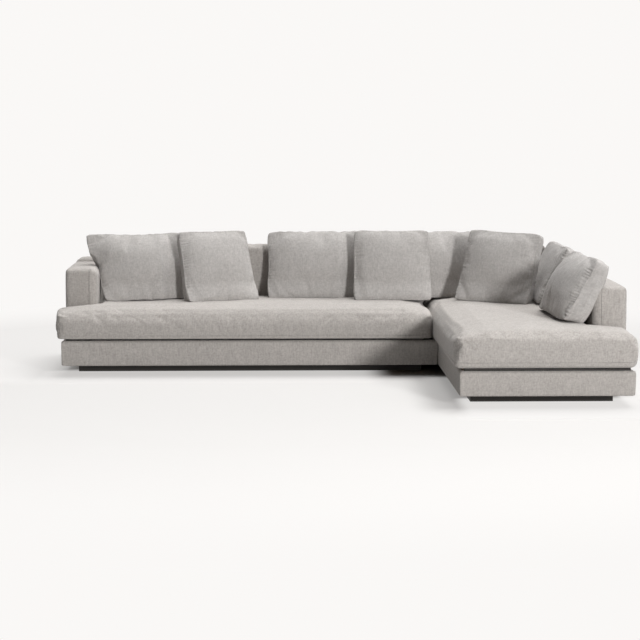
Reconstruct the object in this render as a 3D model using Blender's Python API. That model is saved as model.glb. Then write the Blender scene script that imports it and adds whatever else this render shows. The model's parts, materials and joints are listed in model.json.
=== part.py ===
"""Corner sofa: a long bench module with a left arm, joined to a chaise module with a right arm.

Each module is a timber box frame on a recessed plinth, with padded fabric borders, webbing, a deck
cloth, a loose seat cushion, a framed arm and a framed back. Loose cushions lean on the backs and the
right arm. Metres, +Z up. Every piece is placed under one empty at the middle of the footprint; under
that empty X runs from the left side of the base, Y from the front of the bench base, Z from the floor.
"""

import math
from dataclasses import dataclass

import bmesh
import bpy
from mathutils import Euler, Vector

# Overall sizes
SOFA_WIDTH = 3.15
BENCH_DEPTH = 1.05
CHAISE_WIDTH = 0.93
CHAISE_REACH = 1.23
MODULE_GAP = 0.0015
CLEAR = 0.0003
CUT_OVERRUN = 0.01

# Plinth boards, set back under the base
PLINTH_HEIGHT = 0.061
PLINTH_BOARD = 0.018
PLINTH_SIDE_INSET = 0.08
PLINTH_FRONT_INSET = 0.22

# Base box: bottom board, rails, webbing, deck cloth and padded borders
BASE_HEIGHT = 0.148
BOTTOM_BOARD = 0.009
RAIL = 0.028
WEBBING = 0.002
STRAP = 0.06
STRAP_PITCH_SHARE = 2.6
DECK_CLOTH = 0.008
BORDER = 0.025
BORDER_ROUND = 0.018

# Arms and backs
ARM_WIDTH = 0.19
ARM_TOP = 0.612
ARM_SETBACK = 0.277
ARM_ROUND = 0.035
BACK_DEPTH = 0.2
BACK_TOP = 0.63
BACK_ROUND = 0.045
COVER_WALL = 0.025
FRAME_BEAM = 0.045
FRAME_PITCH = 0.3
PAD_DEPTH = 0.115
PAD_TOP = 0.725
PAD_ROUND = 0.035

# Steel plates that hold the modules together, under the bottom boards
PLATE_LENGTH = 0.12
PLATE_WIDTH = 0.04
PLATE = 0.003
PLATE_INSET = 0.3

# Seat cushions. A wing of each wraps round the front of an arm
SEAT_LEFT_LIP = 0.026
SEAT_RIGHT_LIP = 0.008
BENCH_FRONT_LIP = 0.02
CHAISE_FRONT_LIP = 0.025
SEAT_JOIN_OFFSET = 0.03
SEAT_REST = 0.404
BENCH_CROWN = 0.414
CHAISE_CROWN = 0.416
BENCH_FRONT_DROP = 0.026
CHAISE_FRONT_DROP = 0.008
SIDE_DROP = 0.024
FRONT_REACH = 0.2
SIDE_REACH = 0.11
BENCH_REST_START = 0.17
CHAISE_REST_START = 0.42
REST_REACH = 0.09
SEAT_EDGE = 0.032
SEAT_BOTTOM_EDGE = 0.012
SEAT_PUFF = 0.008
SEAT_CORNER = 0.05
SEAT_CELL = 0.14

# Wide loose cushions, five of them
WIDE_WIDTH = 0.71
WIDE_HEIGHT = 0.416
FAR_WIDE_HEIGHT = 0.362
NEAR_WIDE_HEIGHT = 0.38
WIDE_GUSSET = 0.07
WIDE_FRONT_SWELL = 0.075
WIDE_BACK_SWELL = 0.012
FAR_FRONT_SWELL = 0.03
LEFT_WIDE_START = 0.1
LEFT_WIDE_OUT = 0.075
MIDDLE_WIDE_START = 1.2
CORNER_WIDE_START = 1.97
FAR_WIDE_SETBACK = 0.09
NEAR_WIDE_PROUD = 0.03

# Small scatter cushions, three of them, tucked in between the wide ones
SMALL_WIDTH = 0.47
SMALL_HEIGHT = 0.437
SMALL_GUSSET = 0.06
SMALL_FRONT_SWELL = 0.055
SMALL_BACK_SWELL = 0.03
LEFT_SMALL_MIDDLE = 0.93
MIDDLE_SMALL_MIDDLE = 1.97
CORNER_SMALL_MIDDLE = 2.572
LEFT_SMALL_OUT = 0.28
MIDDLE_SMALL_OUT = 0.262
CORNER_SMALL_OUT = 0.535

# How the loose cushions stand: lean back, turn sideways and tilt on the seat, in degrees
LEFT_WIDE_TURN = (17, 7, -0.5)
BACK_WIDE_TURN = (12, 0, 0)
FAR_WIDE_TURN = (27, -90, 0)
NEAR_WIDE_TURN = (31, -88, 0)
LEFT_SMALL_TURN = (16, 22, 0)
MIDDLE_SMALL_TURN = (14, 0, 0)
CORNER_SMALL_TURN = (16, -33, 2)

# How far a scatter cushion's top has slipped to the left, as a share of its height, and how much
# narrower than its bottom it is
LEFT_SLUMP_SHARE = 0.055
CORNER_SLUMP_SHARE = -0.02
SMALL_TAPER_SHARE = 0.03

# Shared form of the loose cushions
GUSSET_PUFF = 0.006
CUSHION_SINK = 0.008
ARM_BITE_MARGIN = 0.006
ARM_BITE_RISE = 0.06
DRAWN_SIDE_SHARE = 0.045
DRAWN_TOP_SHARE = 0.05
CORNER_SHARE = 0.05
SWELL_POWER = 2.4
CORNER_POWER = 8
CUSHION_COLUMNS = 10
CUSHION_ROWS = 8

# Smooth shading keeps edges sharper than this
SHARP_ANGLE = math.radians(40)

BENCH_WIDTH = SOFA_WIDTH - CHAISE_WIDTH - MODULE_GAP
CHAISE_LEFT = SOFA_WIDTH - CHAISE_WIDTH
BASE_BOTTOM = PLINTH_HEIGHT + CLEAR
BASE_TOP = BASE_BOTTOM + BASE_HEIGHT
DECK_TOP = BASE_TOP + CLEAR
RIGHT_ARM_INNER = SOFA_WIDTH - ARM_WIDTH
RIGHT_ARM_FRONT = ARM_SETBACK - CHAISE_REACH
BACK_FRONT = BENCH_DEPTH - BACK_DEPTH
PAD_FRONT = BACK_FRONT - PAD_DEPTH
SEAT_BOTTOM = DECK_TOP
SEAT_JOIN = CHAISE_LEFT - SEAT_JOIN_OFFSET


@dataclass(frozen=True)
class Finish:
    """Colour, roughness and metallic value of one material."""

    name: str
    colour: tuple
    roughness: float
    metallic: float = 0.0


COVER_FABRIC = Finish("cover_fabric", (0.41, 0.38, 0.36), 0.95)
CUSHION_FABRIC = Finish("cushion_fabric", (0.42, 0.39, 0.37), 0.95)
SCATTER_FABRIC = Finish("scatter_fabric", (0.43, 0.4, 0.38), 0.95)
TIMBER = Finish("frame_timber", (0.56, 0.4, 0.24), 0.7)
PLYWOOD = Finish("plywood", (0.6, 0.46, 0.3), 0.75)
PLINTH_STAIN = Finish("plinth_stain", (0.022, 0.02, 0.017), 0.6)
STRAPPING = Finish("strapping", (0.05, 0.045, 0.04), 0.85)
DECK = Finish("deck_cloth", (0.12, 0.11, 0.1), 0.95)
STEEL = Finish("plate_steel", (0.55, 0.55, 0.56), 0.35, 1.0)


def empty_scene():
    """Take every object out of the scene."""
    for thing in list(bpy.data.objects):
        bpy.data.objects.remove(thing, do_unlink=True)


def material(finish):
    """A Principled material for one finish, made once."""
    found = bpy.data.materials.get(finish.name)
    if found:
        return found
    made = bpy.data.materials.new(finish.name)
    made.use_nodes = True
    shader = made.node_tree.nodes["Principled BSDF"]
    shader.inputs["Base Color"].default_value = (*finish.colour, 1)
    shader.inputs["Roughness"].default_value = finish.roughness
    shader.inputs["Metallic"].default_value = finish.metallic
    return made


def add_object(name, bm, finish, parent):
    """Turn a bmesh into a named, smooth-shaded object under the parent, its faces pointing out."""
    bmesh.ops.recalc_face_normals(bm, faces=bm.faces[:])
    if bm.calc_volume(signed=True) < 0:
        bmesh.ops.reverse_faces(bm, faces=bm.faces[:])
    mesh = bpy.data.meshes.new(name)
    bm.to_mesh(mesh)
    bm.free()
    mesh.shade_smooth()
    mesh.set_sharp_from_angle(angle=SHARP_ANGLE)
    mesh.materials.append(material(finish))
    thing = bpy.data.objects.new(name, mesh)
    thing.parent = parent
    bpy.context.scene.collection.objects.link(thing)
    return thing


def box_bmesh(low, high):
    """A box between two corners."""
    bm = bmesh.new()
    bmesh.ops.create_cube(bm, size=1.0)
    low, high = Vector(low), Vector(high)
    size, middle = high - low, (high + low) / 2
    for vert in bm.verts:
        vert.co = Vector([c * s for c, s in zip(vert.co, size)]) + middle
    return bm


def box_sides(point, low, high):
    """The names of the box's sides that a point lies on."""
    names = (("left", "right"), ("front", "back"), ("bottom", "top"))
    sides = set()
    for axis, (first, last) in enumerate(names):
        sides.add(first if point[axis] < (low[axis] + high[axis]) / 2 else last)
    return sides


def rounded_box(low, high, radius, edges, segments=4):
    """A box whose named edges are rounded, each edge named by the two sides it joins."""
    bm = box_bmesh(low, high)
    wanted = [set(edge.split()) for edge in edges]
    picked = []
    for edge in bm.edges:
        shared = box_sides(edge.verts[0].co, low, high) & box_sides(edge.verts[1].co, low, high)
        if shared in wanted:
            picked.append(edge)
    bmesh.ops.bevel(bm, geom=picked, offset=radius, offset_type="OFFSET", segments=segments,
                    profile=0.5, affect="EDGES")
    return bm


def add_box(name, low, high, finish, parent):
    """A plain board."""
    return add_object(name, box_bmesh(low, high), finish, parent)


def spread(first, last, count):
    """Evenly spaced values from first to last."""
    return [first + (last - first) * step / (count - 1) for step in range(count)]


def beam_lines(length, beam, pitch):
    """The two edges of each beam of a row of beams, no further apart than the pitch."""
    count = max(2, math.ceil((length - beam) / pitch) + 1)
    lines = []
    for start in spread(0, length - beam, count):
        lines += [start, start + beam]
    return lines


def lattice_bmesh(across, along, thickness):
    """A flat lattice of crossing beams: across and along hold the two edges of each beam."""
    bm = bmesh.new()
    grid = [[bm.verts.new((u, v, 0)) for v in along] for u in across]
    for i in range(len(across) - 1):
        for j in range(len(along) - 1):
            if i % 2 and j % 2:
                continue
            bm.faces.new((grid[i][j], grid[i + 1][j], grid[i + 1][j + 1], grid[i][j + 1]))
    grown = bmesh.ops.extrude_face_region(bm, geom=bm.faces[:])
    lifted = [item for item in grown["geom"] if isinstance(item, bmesh.types.BMVert)]
    bmesh.ops.translate(bm, verts=lifted, vec=(0, 0, thickness))
    return bm


def add_ladder_frame(name, low, high, parent):
    """An upright timber frame of two long rails with posts between them, filling a box."""
    size = [b - a for a, b in zip(low, high)]
    along_x = size[0] > size[1]
    length = size[0] if along_x else size[1]
    depth = size[1] if along_x else size[0]
    posts = beam_lines(length, FRAME_BEAM, FRAME_PITCH)
    rails = [0, FRAME_BEAM, size[2] - FRAME_BEAM, size[2]]
    bm = lattice_bmesh(posts, rails, depth)
    for vert in bm.verts:
        u, v, w = vert.co
        vert.co = (low[0] + u, low[1] + w, low[2] + v) if along_x else (low[0] + w, low[1] + u, low[2] + v)
    return add_object(name, bm, TIMBER, parent)


def add_cover(name, low, high, radius, edges, parent):
    """A padded cover: a rounded shell, open at the bottom, with room for its frame."""
    cover = add_object(name, rounded_box(low, high, radius, edges), COVER_FABRIC, parent)
    hollow_low = (low[0] + COVER_WALL, low[1] + COVER_WALL, low[2] - CUT_OVERRUN)
    hollow_high = tuple(value - COVER_WALL for value in high)
    cutter = add_box(name + "_hollow", hollow_low, hollow_high, COVER_FABRIC, parent)
    cutter.hide_render = True
    cutter.display_type = "WIRE"
    cut = cover.modifiers.new("hollow", "BOOLEAN")
    cut.object = cutter
    cut.operation = "DIFFERENCE"
    cut.solver = "EXACT"
    return cover


def add_framed_block(frame_name, cover_name, low, high, radius, edges, parent):
    """An arm or a back: a ladder frame under its padded cover."""
    add_cover(cover_name, low, high, radius, edges, parent)
    inner = COVER_WALL + CLEAR
    frame_low = (low[0] + inner, low[1] + inner, low[2])
    frame_high = tuple(value - inner for value in high)
    add_ladder_frame(frame_name, frame_low, frame_high, parent)


def add_base(module, left, right, front, back, parent):
    """The plinth, frame, webbing, deck cloth and borders of one module."""
    inner = BORDER + CLEAR
    add_base_borders(module, left, right, front, back, parent)
    add_plinth(module, left, right, front, back, parent)
    add_base_frame(module, left + inner, right - inner, front + inner, back - inner, parent)


def add_base_borders(module, left, right, front, back, parent):
    """Four padded fabric borders round the base, the front and back ones full width."""
    low, high = BASE_BOTTOM, BASE_TOP
    side_front, side_back = front + BORDER + CLEAR, back - BORDER - CLEAR
    borders = {
        "front": ((left, front, low), (right, front + BORDER, high),
                  ("front top", "front left", "front right")),
        "back": ((left, back - BORDER, low), (right, back, high),
                 ("back top", "back left", "back right")),
        "left": ((left, side_front, low), (left + BORDER, side_back, high), ("left top",)),
        "right": ((right - BORDER, side_front, low), (right, side_back, high), ("right top",)),
    }
    for side, (corner, far_corner, edges) in borders.items():
        bm = rounded_box(corner, far_corner, BORDER_ROUND, edges)
        add_object(f"{module}_{side}_border", bm, COVER_FABRIC, parent)


def add_plinth(module, left, right, front, back, parent):
    """Four dark boards set back under the base, the front and back ones between the sides."""
    left, right = left + PLINTH_SIDE_INSET, right - PLINTH_SIDE_INSET
    front, back = front + PLINTH_FRONT_INSET, back - PLINTH_SIDE_INSET
    top = PLINTH_HEIGHT
    inner_left, inner_right = left + PLINTH_BOARD + CLEAR, right - PLINTH_BOARD - CLEAR
    boards = {
        "left": ((left, front, 0), (left + PLINTH_BOARD, back, top)),
        "right": ((right - PLINTH_BOARD, front, 0), (right, back, top)),
        "front": ((inner_left, front, 0), (inner_right, front + PLINTH_BOARD, top)),
        "back": ((inner_left, back - PLINTH_BOARD, 0), (inner_right, back, top)),
    }
    for side, (low, high) in boards.items():
        add_box(f"{module}_plinth_{side}", low, high, PLINTH_STAIN, parent)


def add_base_frame(module, left, right, front, back, parent):
    """The bottom board, five rails, webbing and deck cloth inside the borders."""
    board_top = BASE_BOTTOM + BOTTOM_BOARD
    add_box(f"{module}_bottom_board", (left, front, BASE_BOTTOM), (right, back, board_top), PLYWOOD, parent)
    deck_bottom = BASE_TOP - DECK_CLOTH
    webbing_bottom = deck_bottom - CLEAR - WEBBING
    low, high = board_top + CLEAR, webbing_bottom - CLEAR
    side_front, side_back = front + RAIL + CLEAR, back - RAIL - CLEAR
    middle = (left + right) / 2
    rails = {
        "front": ((left, front, low), (right, front + RAIL, high)),
        "back": ((left, back - RAIL, low), (right, back, high)),
        "left": ((left, side_front, low), (left + RAIL, side_back, high)),
        "right": ((right - RAIL, side_front, low), (right, side_back, high)),
        "cross": ((middle - RAIL / 2, side_front, low), (middle + RAIL / 2, side_back, high)),
    }
    for side, (corner, far_corner) in rails.items():
        add_box(f"{module}_{side}_rail", corner, far_corner, TIMBER, parent)
    across = beam_lines(right - left, STRAP, STRAP * STRAP_PITCH_SHARE)
    along = beam_lines(back - front, STRAP, STRAP * STRAP_PITCH_SHARE)
    straps = lattice_bmesh(across, along, WEBBING)
    bmesh.ops.translate(straps, verts=straps.verts[:], vec=(left, front, webbing_bottom))
    add_object(f"{module}_webbing", straps, STRAPPING, parent)
    add_box(f"{module}_deck_cloth", (left, front, deck_bottom), (right, back, BASE_TOP), DECK, parent)


def add_join_plates(parent):
    """Two flat steel plates under the bottom boards, across the joint between the modules."""
    middle = CHAISE_LEFT - MODULE_GAP / 2
    top = BASE_BOTTOM - CLEAR
    for name, y in (("front", PLATE_INSET), ("back", BENCH_DEPTH - PLATE_INSET)):
        low = (middle - PLATE_LENGTH / 2, y - PLATE_WIDTH / 2, top - PLATE)
        high = (middle + PLATE_LENGTH / 2, y + PLATE_WIDTH / 2, top)
        add_box(f"join_plate_{name}", low, high, STEEL, parent)


def add_arms(parent):
    """The left arm on the bench and the long right arm on the chaise."""
    rounded = ("left top", "right top", "front top", "front left", "front right")
    back = BACK_FRONT - CLEAR
    add_framed_block("left_arm_frame", "left_arm_cover", (0, ARM_SETBACK, DECK_TOP),
                     (ARM_WIDTH, back, ARM_TOP), ARM_ROUND, rounded, parent)
    add_framed_block("right_arm_frame", "right_arm_cover", (RIGHT_ARM_INNER, RIGHT_ARM_FRONT, DECK_TOP),
                     (SOFA_WIDTH, back, ARM_TOP), ARM_ROUND, rounded, parent)


def add_backs(parent):
    """The back of each module, behind the arms, and the taller pad in front of it."""
    long_edges = ("front top", "back top")
    add_framed_block("bench_back_frame", "bench_back_cover", (0, BACK_FRONT, DECK_TOP),
                     (BENCH_WIDTH, BENCH_DEPTH, BACK_TOP), BACK_ROUND,
                     long_edges + ("left top", "back left"), parent)
    add_framed_block("chaise_back_frame", "chaise_back_cover", (CHAISE_LEFT, BACK_FRONT, DECK_TOP),
                     (SOFA_WIDTH, BENCH_DEPTH, BACK_TOP), BACK_ROUND,
                     long_edges + ("right top", "back right"), parent)
    pad_back = BACK_FRONT - CLEAR
    spans = {
        "bench": (ARM_WIDTH + CLEAR, BENCH_WIDTH, ("left top",)),
        "chaise": (CHAISE_LEFT, RIGHT_ARM_INNER - CLEAR, ("right top",)),
    }
    for module, (left, right, end_edges) in spans.items():
        bm = rounded_box((left, PAD_FRONT, DECK_TOP), (right, pad_back, PAD_TOP), PAD_ROUND,
                         long_edges + end_edges)
        add_object(f"{module}_back_pad", bm, COVER_FABRIC, parent)


def smooth_step(value):
    """0 below 0, 1 above 1, and a smooth rise between."""
    value = min(1.0, max(0.0, value))
    return value * value * (3 - 2 * value)


@dataclass(frozen=True)
class SeatCushion:
    """A thick seat cushion. U runs in from the side with the wing, V back from the front.

    The arm stands where U is under wing_u and V is over wing_v.
    """

    name: str
    corner: tuple
    across: int
    width: float
    depth: float
    wing_u: float
    wing_v: float
    crown: float
    front_drop: float
    rest_start: float

    def edge_distance(self, u, v):
        """How far a place lies from the nearest edge of the plan."""
        to_arm = math.hypot(max(0.0, u - self.wing_u), max(0.0, self.wing_v - v))
        return max(0.0, min(u - SEAT_PUFF, self.width - u, v - SEAT_PUFF, self.depth - v, to_arm))

    def top(self, u, v):
        """Height of the top: crowned, lower where cushions stand, rounded at the edges."""
        rest = smooth_step((v - self.rest_start) / REST_REACH)
        height = self.crown + (SEAT_REST - self.crown) * rest
        height -= self.front_drop * (1 - smooth_step((v - SEAT_PUFF) / FRONT_REACH))
        side = min(u - SEAT_PUFF, self.width - u)
        height -= SIDE_DROP * (1 - smooth_step(side / SIDE_REACH))
        inward = min(self.edge_distance(u, v), SEAT_EDGE)
        return height - SEAT_EDGE + math.sqrt(SEAT_EDGE ** 2 - (SEAT_EDGE - inward) ** 2)

    def round_corner(self, u, v):
        """Move a place near a convex corner of the plan on to a round corner."""
        corners = ((SEAT_PUFF, SEAT_PUFF, -1, -1), (self.width, SEAT_PUFF, 1, -1),
                   (SEAT_PUFF, self.wing_v, -1, 1))
        for corner_u, corner_v, u_sign, v_sign in corners:
            a = 1 - (corner_u - u) * u_sign / SEAT_CORNER
            b = 1 - (corner_v - v) * v_sign / SEAT_CORNER
            if a > 0 and b > 0:
                u += u_sign * SEAT_CORNER * a * (math.sqrt(1 - min(b, 1.0) ** 2 / 2) - 1)
                v += v_sign * SEAT_CORNER * b * (math.sqrt(1 - min(a, 1.0) ** 2 / 2) - 1)
        return u, v

    def place(self, u, v, z):
        """A point of the cushion in the sofa's own axes."""
        u, v = self.round_corner(u, v)
        return self.corner[0] + self.across * u, self.corner[1] + v, z

    def build(self, parent):
        """Model the crowned top as a grid, then the puffed sides and a flat bottom."""
        us = edge_lines(SEAT_PUFF, self.width, self.wing_u, 1)
        vs = edge_lines(SEAT_PUFF, self.depth, self.wing_v, -1)
        i_wing, j_wing = us.index(self.wing_u), vs.index(self.wing_v)
        bm = bmesh.new()
        grid = {}
        for i, u in enumerate(us):
            for j, v in enumerate(vs):
                if not (i < i_wing and j > j_wing):
                    grid[i, j] = bm.verts.new(self.place(u, v, self.top(u, v)))
        for i in range(len(us) - 1):
            for j in range(len(vs) - 1):
                if not (i < i_wing and j >= j_wing):
                    bm.faces.new((grid[i, j], grid[i + 1, j], grid[i + 1, j + 1], grid[i, j + 1]))
        path = outline_path(len(us) - 1, len(vs) - 1, i_wing, j_wing)
        self.add_sides(bm, [grid[step] for step in path], path, us, vs, (i_wing, j_wing))
        return add_object(self.name, bm, CUSHION_FABRIC, parent)

    def add_sides(self, bm, ring, path, us, vs, wing):
        """Rings of the sides below the top's edge, and a bottom of two faces that meet at the arm's corner."""
        side_top = self.crown - SIDE_DROP - SEAT_EDGE
        side_bottom = SEAT_BOTTOM + SEAT_BOTTOM_EDGE
        levels = ((side_top * 2 / 3 + side_bottom / 3, SEAT_PUFF, 0),
                  (side_top / 3 + side_bottom * 2 / 3, SEAT_PUFF, 0),
                  (side_bottom, 0, 0), (SEAT_BOTTOM, 0, SEAT_BOTTOM_EDGE))
        for height, puff, inset in levels:
            next_ring = []
            for i, j in path:
                out_u, out_v = outward(i, j, len(us) - 1, len(vs) - 1, wing)
                u = us[i] - out_u * inset - (puff if i == 0 else 0)
                v = vs[j] - out_v * inset - (puff if j == 0 else 0)
                next_ring.append(bm.verts.new(self.place(u, v, height)))
            join_rings(bm, ring, next_ring)
            ring = next_ring
        wing_at = path.index(wing)
        side_at = path.index((len(us) - 1, wing[1]))
        bm.faces.new(ring[side_at:wing_at + 1])
        bm.faces.new(ring[:side_at + 1] + ring[wing_at:])


def edge_lines(low, high, wing, wing_side):
    """Grid lines from low to high, close together inside both edges and beside the wing line."""
    edge_shares = (0, 0.12, 0.45, 1)
    stops = {low + SEAT_EDGE * share for share in edge_shares}
    stops |= {high - SEAT_EDGE * share for share in edge_shares}
    stops |= {wing + wing_side * SEAT_EDGE * share for share in edge_shares}
    stops = sorted(stops)
    lines = [stops[0]]
    for stop in stops[1:]:
        count = max(1, round((stop - lines[-1]) / SEAT_CELL))
        lines += spread(lines[-1], stop, count + 1)[1:-1] + [stop]
    return lines


def outline_path(last_i, last_j, i_wing, j_wing):
    """The grid steps round the L-shaped plan, one after the other."""
    path = [(i, 0) for i in range(last_i)]
    path += [(last_i, j) for j in range(last_j)]
    path += [(i, last_j) for i in range(last_i, i_wing, -1)]
    path += [(i_wing, j) for j in range(last_j, j_wing, -1)]
    path += [(i, j_wing) for i in range(i_wing, 0, -1)]
    path += [(0, j) for j in range(j_wing, 0, -1)]
    return path


def outward(i, j, last_i, last_j, wing):
    """Which way is out of the plan at a step of its outline."""
    i_wing, j_wing = wing
    out_u = out_v = 0
    if i == 0 or (i == i_wing and j >= j_wing):
        out_u = -1
    elif i == last_i:
        out_u = 1
    if j == 0:
        out_v = -1
    elif j == last_j or (j == j_wing and i <= i_wing):
        out_v = 1
    return out_u, out_v


def join_rings(bm, ring, next_ring):
    """Quads between two closed rings of as many vertices."""
    for step, vert in enumerate(ring):
        after = (step + 1) % len(ring)
        bm.faces.new((vert, ring[after], next_ring[after], next_ring[step]))


def add_seat_cushions(parent):
    """The bench cushion with its wing at the left arm, the chaise cushion with its at the right."""
    cushions = (
        SeatCushion("bench_seat_cushion", (-SEAT_LEFT_LIP, -BENCH_FRONT_LIP), 1,
                    SEAT_JOIN - CLEAR + SEAT_LEFT_LIP, PAD_FRONT - CLEAR + BENCH_FRONT_LIP,
                    ARM_WIDTH + CLEAR + SEAT_LEFT_LIP, ARM_SETBACK - CLEAR + BENCH_FRONT_LIP,
                    BENCH_CROWN, BENCH_FRONT_DROP, BENCH_REST_START + BENCH_FRONT_LIP),
        SeatCushion("chaise_seat_cushion", (SOFA_WIDTH + SEAT_RIGHT_LIP, -CHAISE_REACH - CHAISE_FRONT_LIP), -1,
                    SOFA_WIDTH + SEAT_RIGHT_LIP - SEAT_JOIN,
                    PAD_FRONT - CLEAR + CHAISE_REACH + CHAISE_FRONT_LIP,
                    ARM_WIDTH + CLEAR + SEAT_RIGHT_LIP, ARM_SETBACK - CLEAR + CHAISE_FRONT_LIP,
                    CHAISE_CROWN, CHAISE_FRONT_DROP, CHAISE_REST_START + CHAISE_REACH + CHAISE_FRONT_LIP),
    )
    for cushion in cushions:
        cushion.build(parent)


@dataclass(frozen=True)
class LooseCushion:
    """A boxed cushion. Its own axes are X across, Y through it to the back, Z up its face."""

    name: str
    finish: Finish
    width: float
    height: float
    gusset: float
    front_swell: float
    back_swell: float
    place: tuple
    rest: float
    turn: tuple
    arm_bite: float = 0.0
    slump_share: float = 0.0
    taper_share: float = 0.0

    def outline(self, u, v):
        """Where a share across (-1 to 1) and a share up (-1 to 1) lies on the face."""
        pull = 1 - CORNER_SHARE * abs(u * v) ** CORNER_POWER
        x = u * self.width / 2 * (1 - DRAWN_SIDE_SHARE * (1 - v * v)) * pull
        z = self.height / 2 * (1 + v * (1 - DRAWN_TOP_SHARE * (1 - u * u)) * pull)
        x = x * (1 - self.taper_share * v) - self.slump_share * z
        if self.arm_bite:
            arm_top = (ARM_TOP + ARM_BITE_MARGIN - self.rest) / math.cos(math.radians(self.turn[0]))
            below = 1 - smooth_step((z - arm_top) / ARM_BITE_RISE)
            x += self.arm_bite * below * (1 - u) / 2
        return x, z

    def build(self, parent):
        """Model both crowned faces and the puffed gusset, then cut the bottom flat."""
        us = [math.sin(math.pi / 2 * share) for share in spread(-1, 1, CUSHION_COLUMNS + 1)]
        vs = [math.sin(math.pi / 2 * share) for share in spread(-1, 1, CUSHION_ROWS + 1)]
        bm = bmesh.new()
        faces = {}
        for side, swell in ((-1, self.front_swell), (1, self.back_swell)):
            for i, u in enumerate(us):
                for j, v in enumerate(vs):
                    x, z = self.outline(u, v)
                    crown = (1 - abs(u) ** SWELL_POWER) * (1 - abs(v) ** SWELL_POWER)
                    y = side * (self.gusset / 2 + swell * crown)
                    faces[side, i, j] = bm.verts.new((x, y, z))
            for i in range(CUSHION_COLUMNS):
                for j in range(CUSHION_ROWS):
                    corners = ((i, j), (i + 1, j), (i + 1, j + 1), (i, j + 1))
                    bm.faces.new([faces[side, a, b] for a, b in corners])
        path = outline_path(CUSHION_COLUMNS, CUSHION_ROWS, 0, CUSHION_ROWS)
        middle = []
        for i, j in path:
            out_u, out_v = outward(i, j, CUSHION_COLUMNS, CUSHION_ROWS, (0, CUSHION_ROWS))
            x, z = self.outline(us[i], vs[j])
            middle.append(bm.verts.new((x + out_u * GUSSET_PUFF, 0, z + out_v * GUSSET_PUFF)))
        join_rings(bm, [faces[-1, i, j] for i, j in path], middle)
        join_rings(bm, middle, [faces[1, i, j] for i, j in path])
        lean, yaw, roll = (math.radians(angle) for angle in self.turn)
        rotation = Euler((-lean, roll, yaw), "YXZ")
        self.cut_flat(bm, rotation)
        cushion = add_object(self.name, bm, self.finish, parent)
        cushion.rotation_mode = "YXZ"
        cushion.rotation_euler = rotation
        cushion.location = self.place
        return cushion

    def cut_flat(self, bm, rotation):
        """Cut off what would sink into the seat, so that the cushion stands flat on it."""
        to_local = rotation.to_matrix().inverted()
        up = to_local @ Vector((0, 0, 1))
        point = to_local @ Vector((0, 0, self.rest + CLEAR - self.place[2]))
        geometry = bm.verts[:] + bm.edges[:] + bm.faces[:]
        cut = bmesh.ops.bisect_plane(bm, geom=geometry, dist=CLEAR / 10, plane_co=point, plane_no=up,
                                     clear_inner=True)["geom_cut"]
        rim = [item for item in cut if isinstance(item, bmesh.types.BMEdge)]
        bmesh.ops.holes_fill(bm, edges=rim)


def lean_on(face, top, round_radius, rest, lean_degrees, thickness, gusset):
    """Where the middle of a leaning cushion's bottom stands, so that its back meets a rounded edge.

    Returns how far that middle lies behind the origin that face is measured from, and its height.
    """
    lean = math.radians(lean_degrees)
    touch = face + round_radius * (1 - math.cos(lean))
    touch_height = top - round_radius * (1 - math.sin(lean))
    height = rest + gusset / 2 * math.sin(lean) - CUSHION_SINK
    back = touch - (touch_height - height) * math.tan(lean) - thickness / math.cos(lean) - CLEAR
    return back, height


def wide_cushions():
    """Three wide cushions against the back pads and two against the long right arm."""
    back_thickness = WIDE_GUSSET / 2 + WIDE_BACK_SWELL
    cushions = []
    bite = ARM_WIDTH - LEFT_WIDE_START + ARM_BITE_MARGIN
    spots = (("left_wide_cushion", LEFT_WIDE_START, LEFT_WIDE_OUT, LEFT_WIDE_TURN, bite),
             ("middle_wide_cushion", MIDDLE_WIDE_START, 0.0, BACK_WIDE_TURN, 0.0),
             ("corner_wide_cushion", CORNER_WIDE_START, 0.0, BACK_WIDE_TURN, 0.0))
    for name, start, out, turn, bite in spots:
        y, z = lean_on(PAD_FRONT, PAD_TOP, PAD_ROUND, SEAT_REST, turn[0], back_thickness, WIDE_GUSSET)
        y -= WIDE_WIDTH / 2 * math.sin(abs(math.radians(turn[1]))) + out
        cushions.append(LooseCushion(name, CUSHION_FABRIC, WIDE_WIDTH, WIDE_HEIGHT, WIDE_GUSSET,
                                     WIDE_FRONT_SWELL, WIDE_BACK_SWELL, (start + WIDE_WIDTH / 2, y, z),
                                     SEAT_REST, turn, bite))
    near_y = RIGHT_ARM_FRONT - NEAR_WIDE_PROUD + WIDE_WIDTH / 2
    far_y = PAD_FRONT - FAR_WIDE_SETBACK - WIDE_WIDTH / 2
    spots = (("far_arm_cushion", far_y, FAR_WIDE_HEIGHT, FAR_FRONT_SWELL, FAR_WIDE_TURN),
             ("near_arm_cushion", near_y, NEAR_WIDE_HEIGHT, WIDE_FRONT_SWELL, NEAR_WIDE_TURN))
    for name, y, height, swell, turn in spots:
        x, z = lean_on(RIGHT_ARM_INNER, ARM_TOP, ARM_ROUND, CHAISE_CROWN, turn[0], WIDE_GUSSET / 2, WIDE_GUSSET)
        x -= WIDE_WIDTH / 2 * math.sin(math.radians(90 + turn[1]))
        cushions.append(LooseCushion(name, CUSHION_FABRIC, WIDE_WIDTH, height, WIDE_GUSSET, swell, 0.0,
                                     (x, y, z), CHAISE_CROWN, turn))
    return cushions


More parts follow.
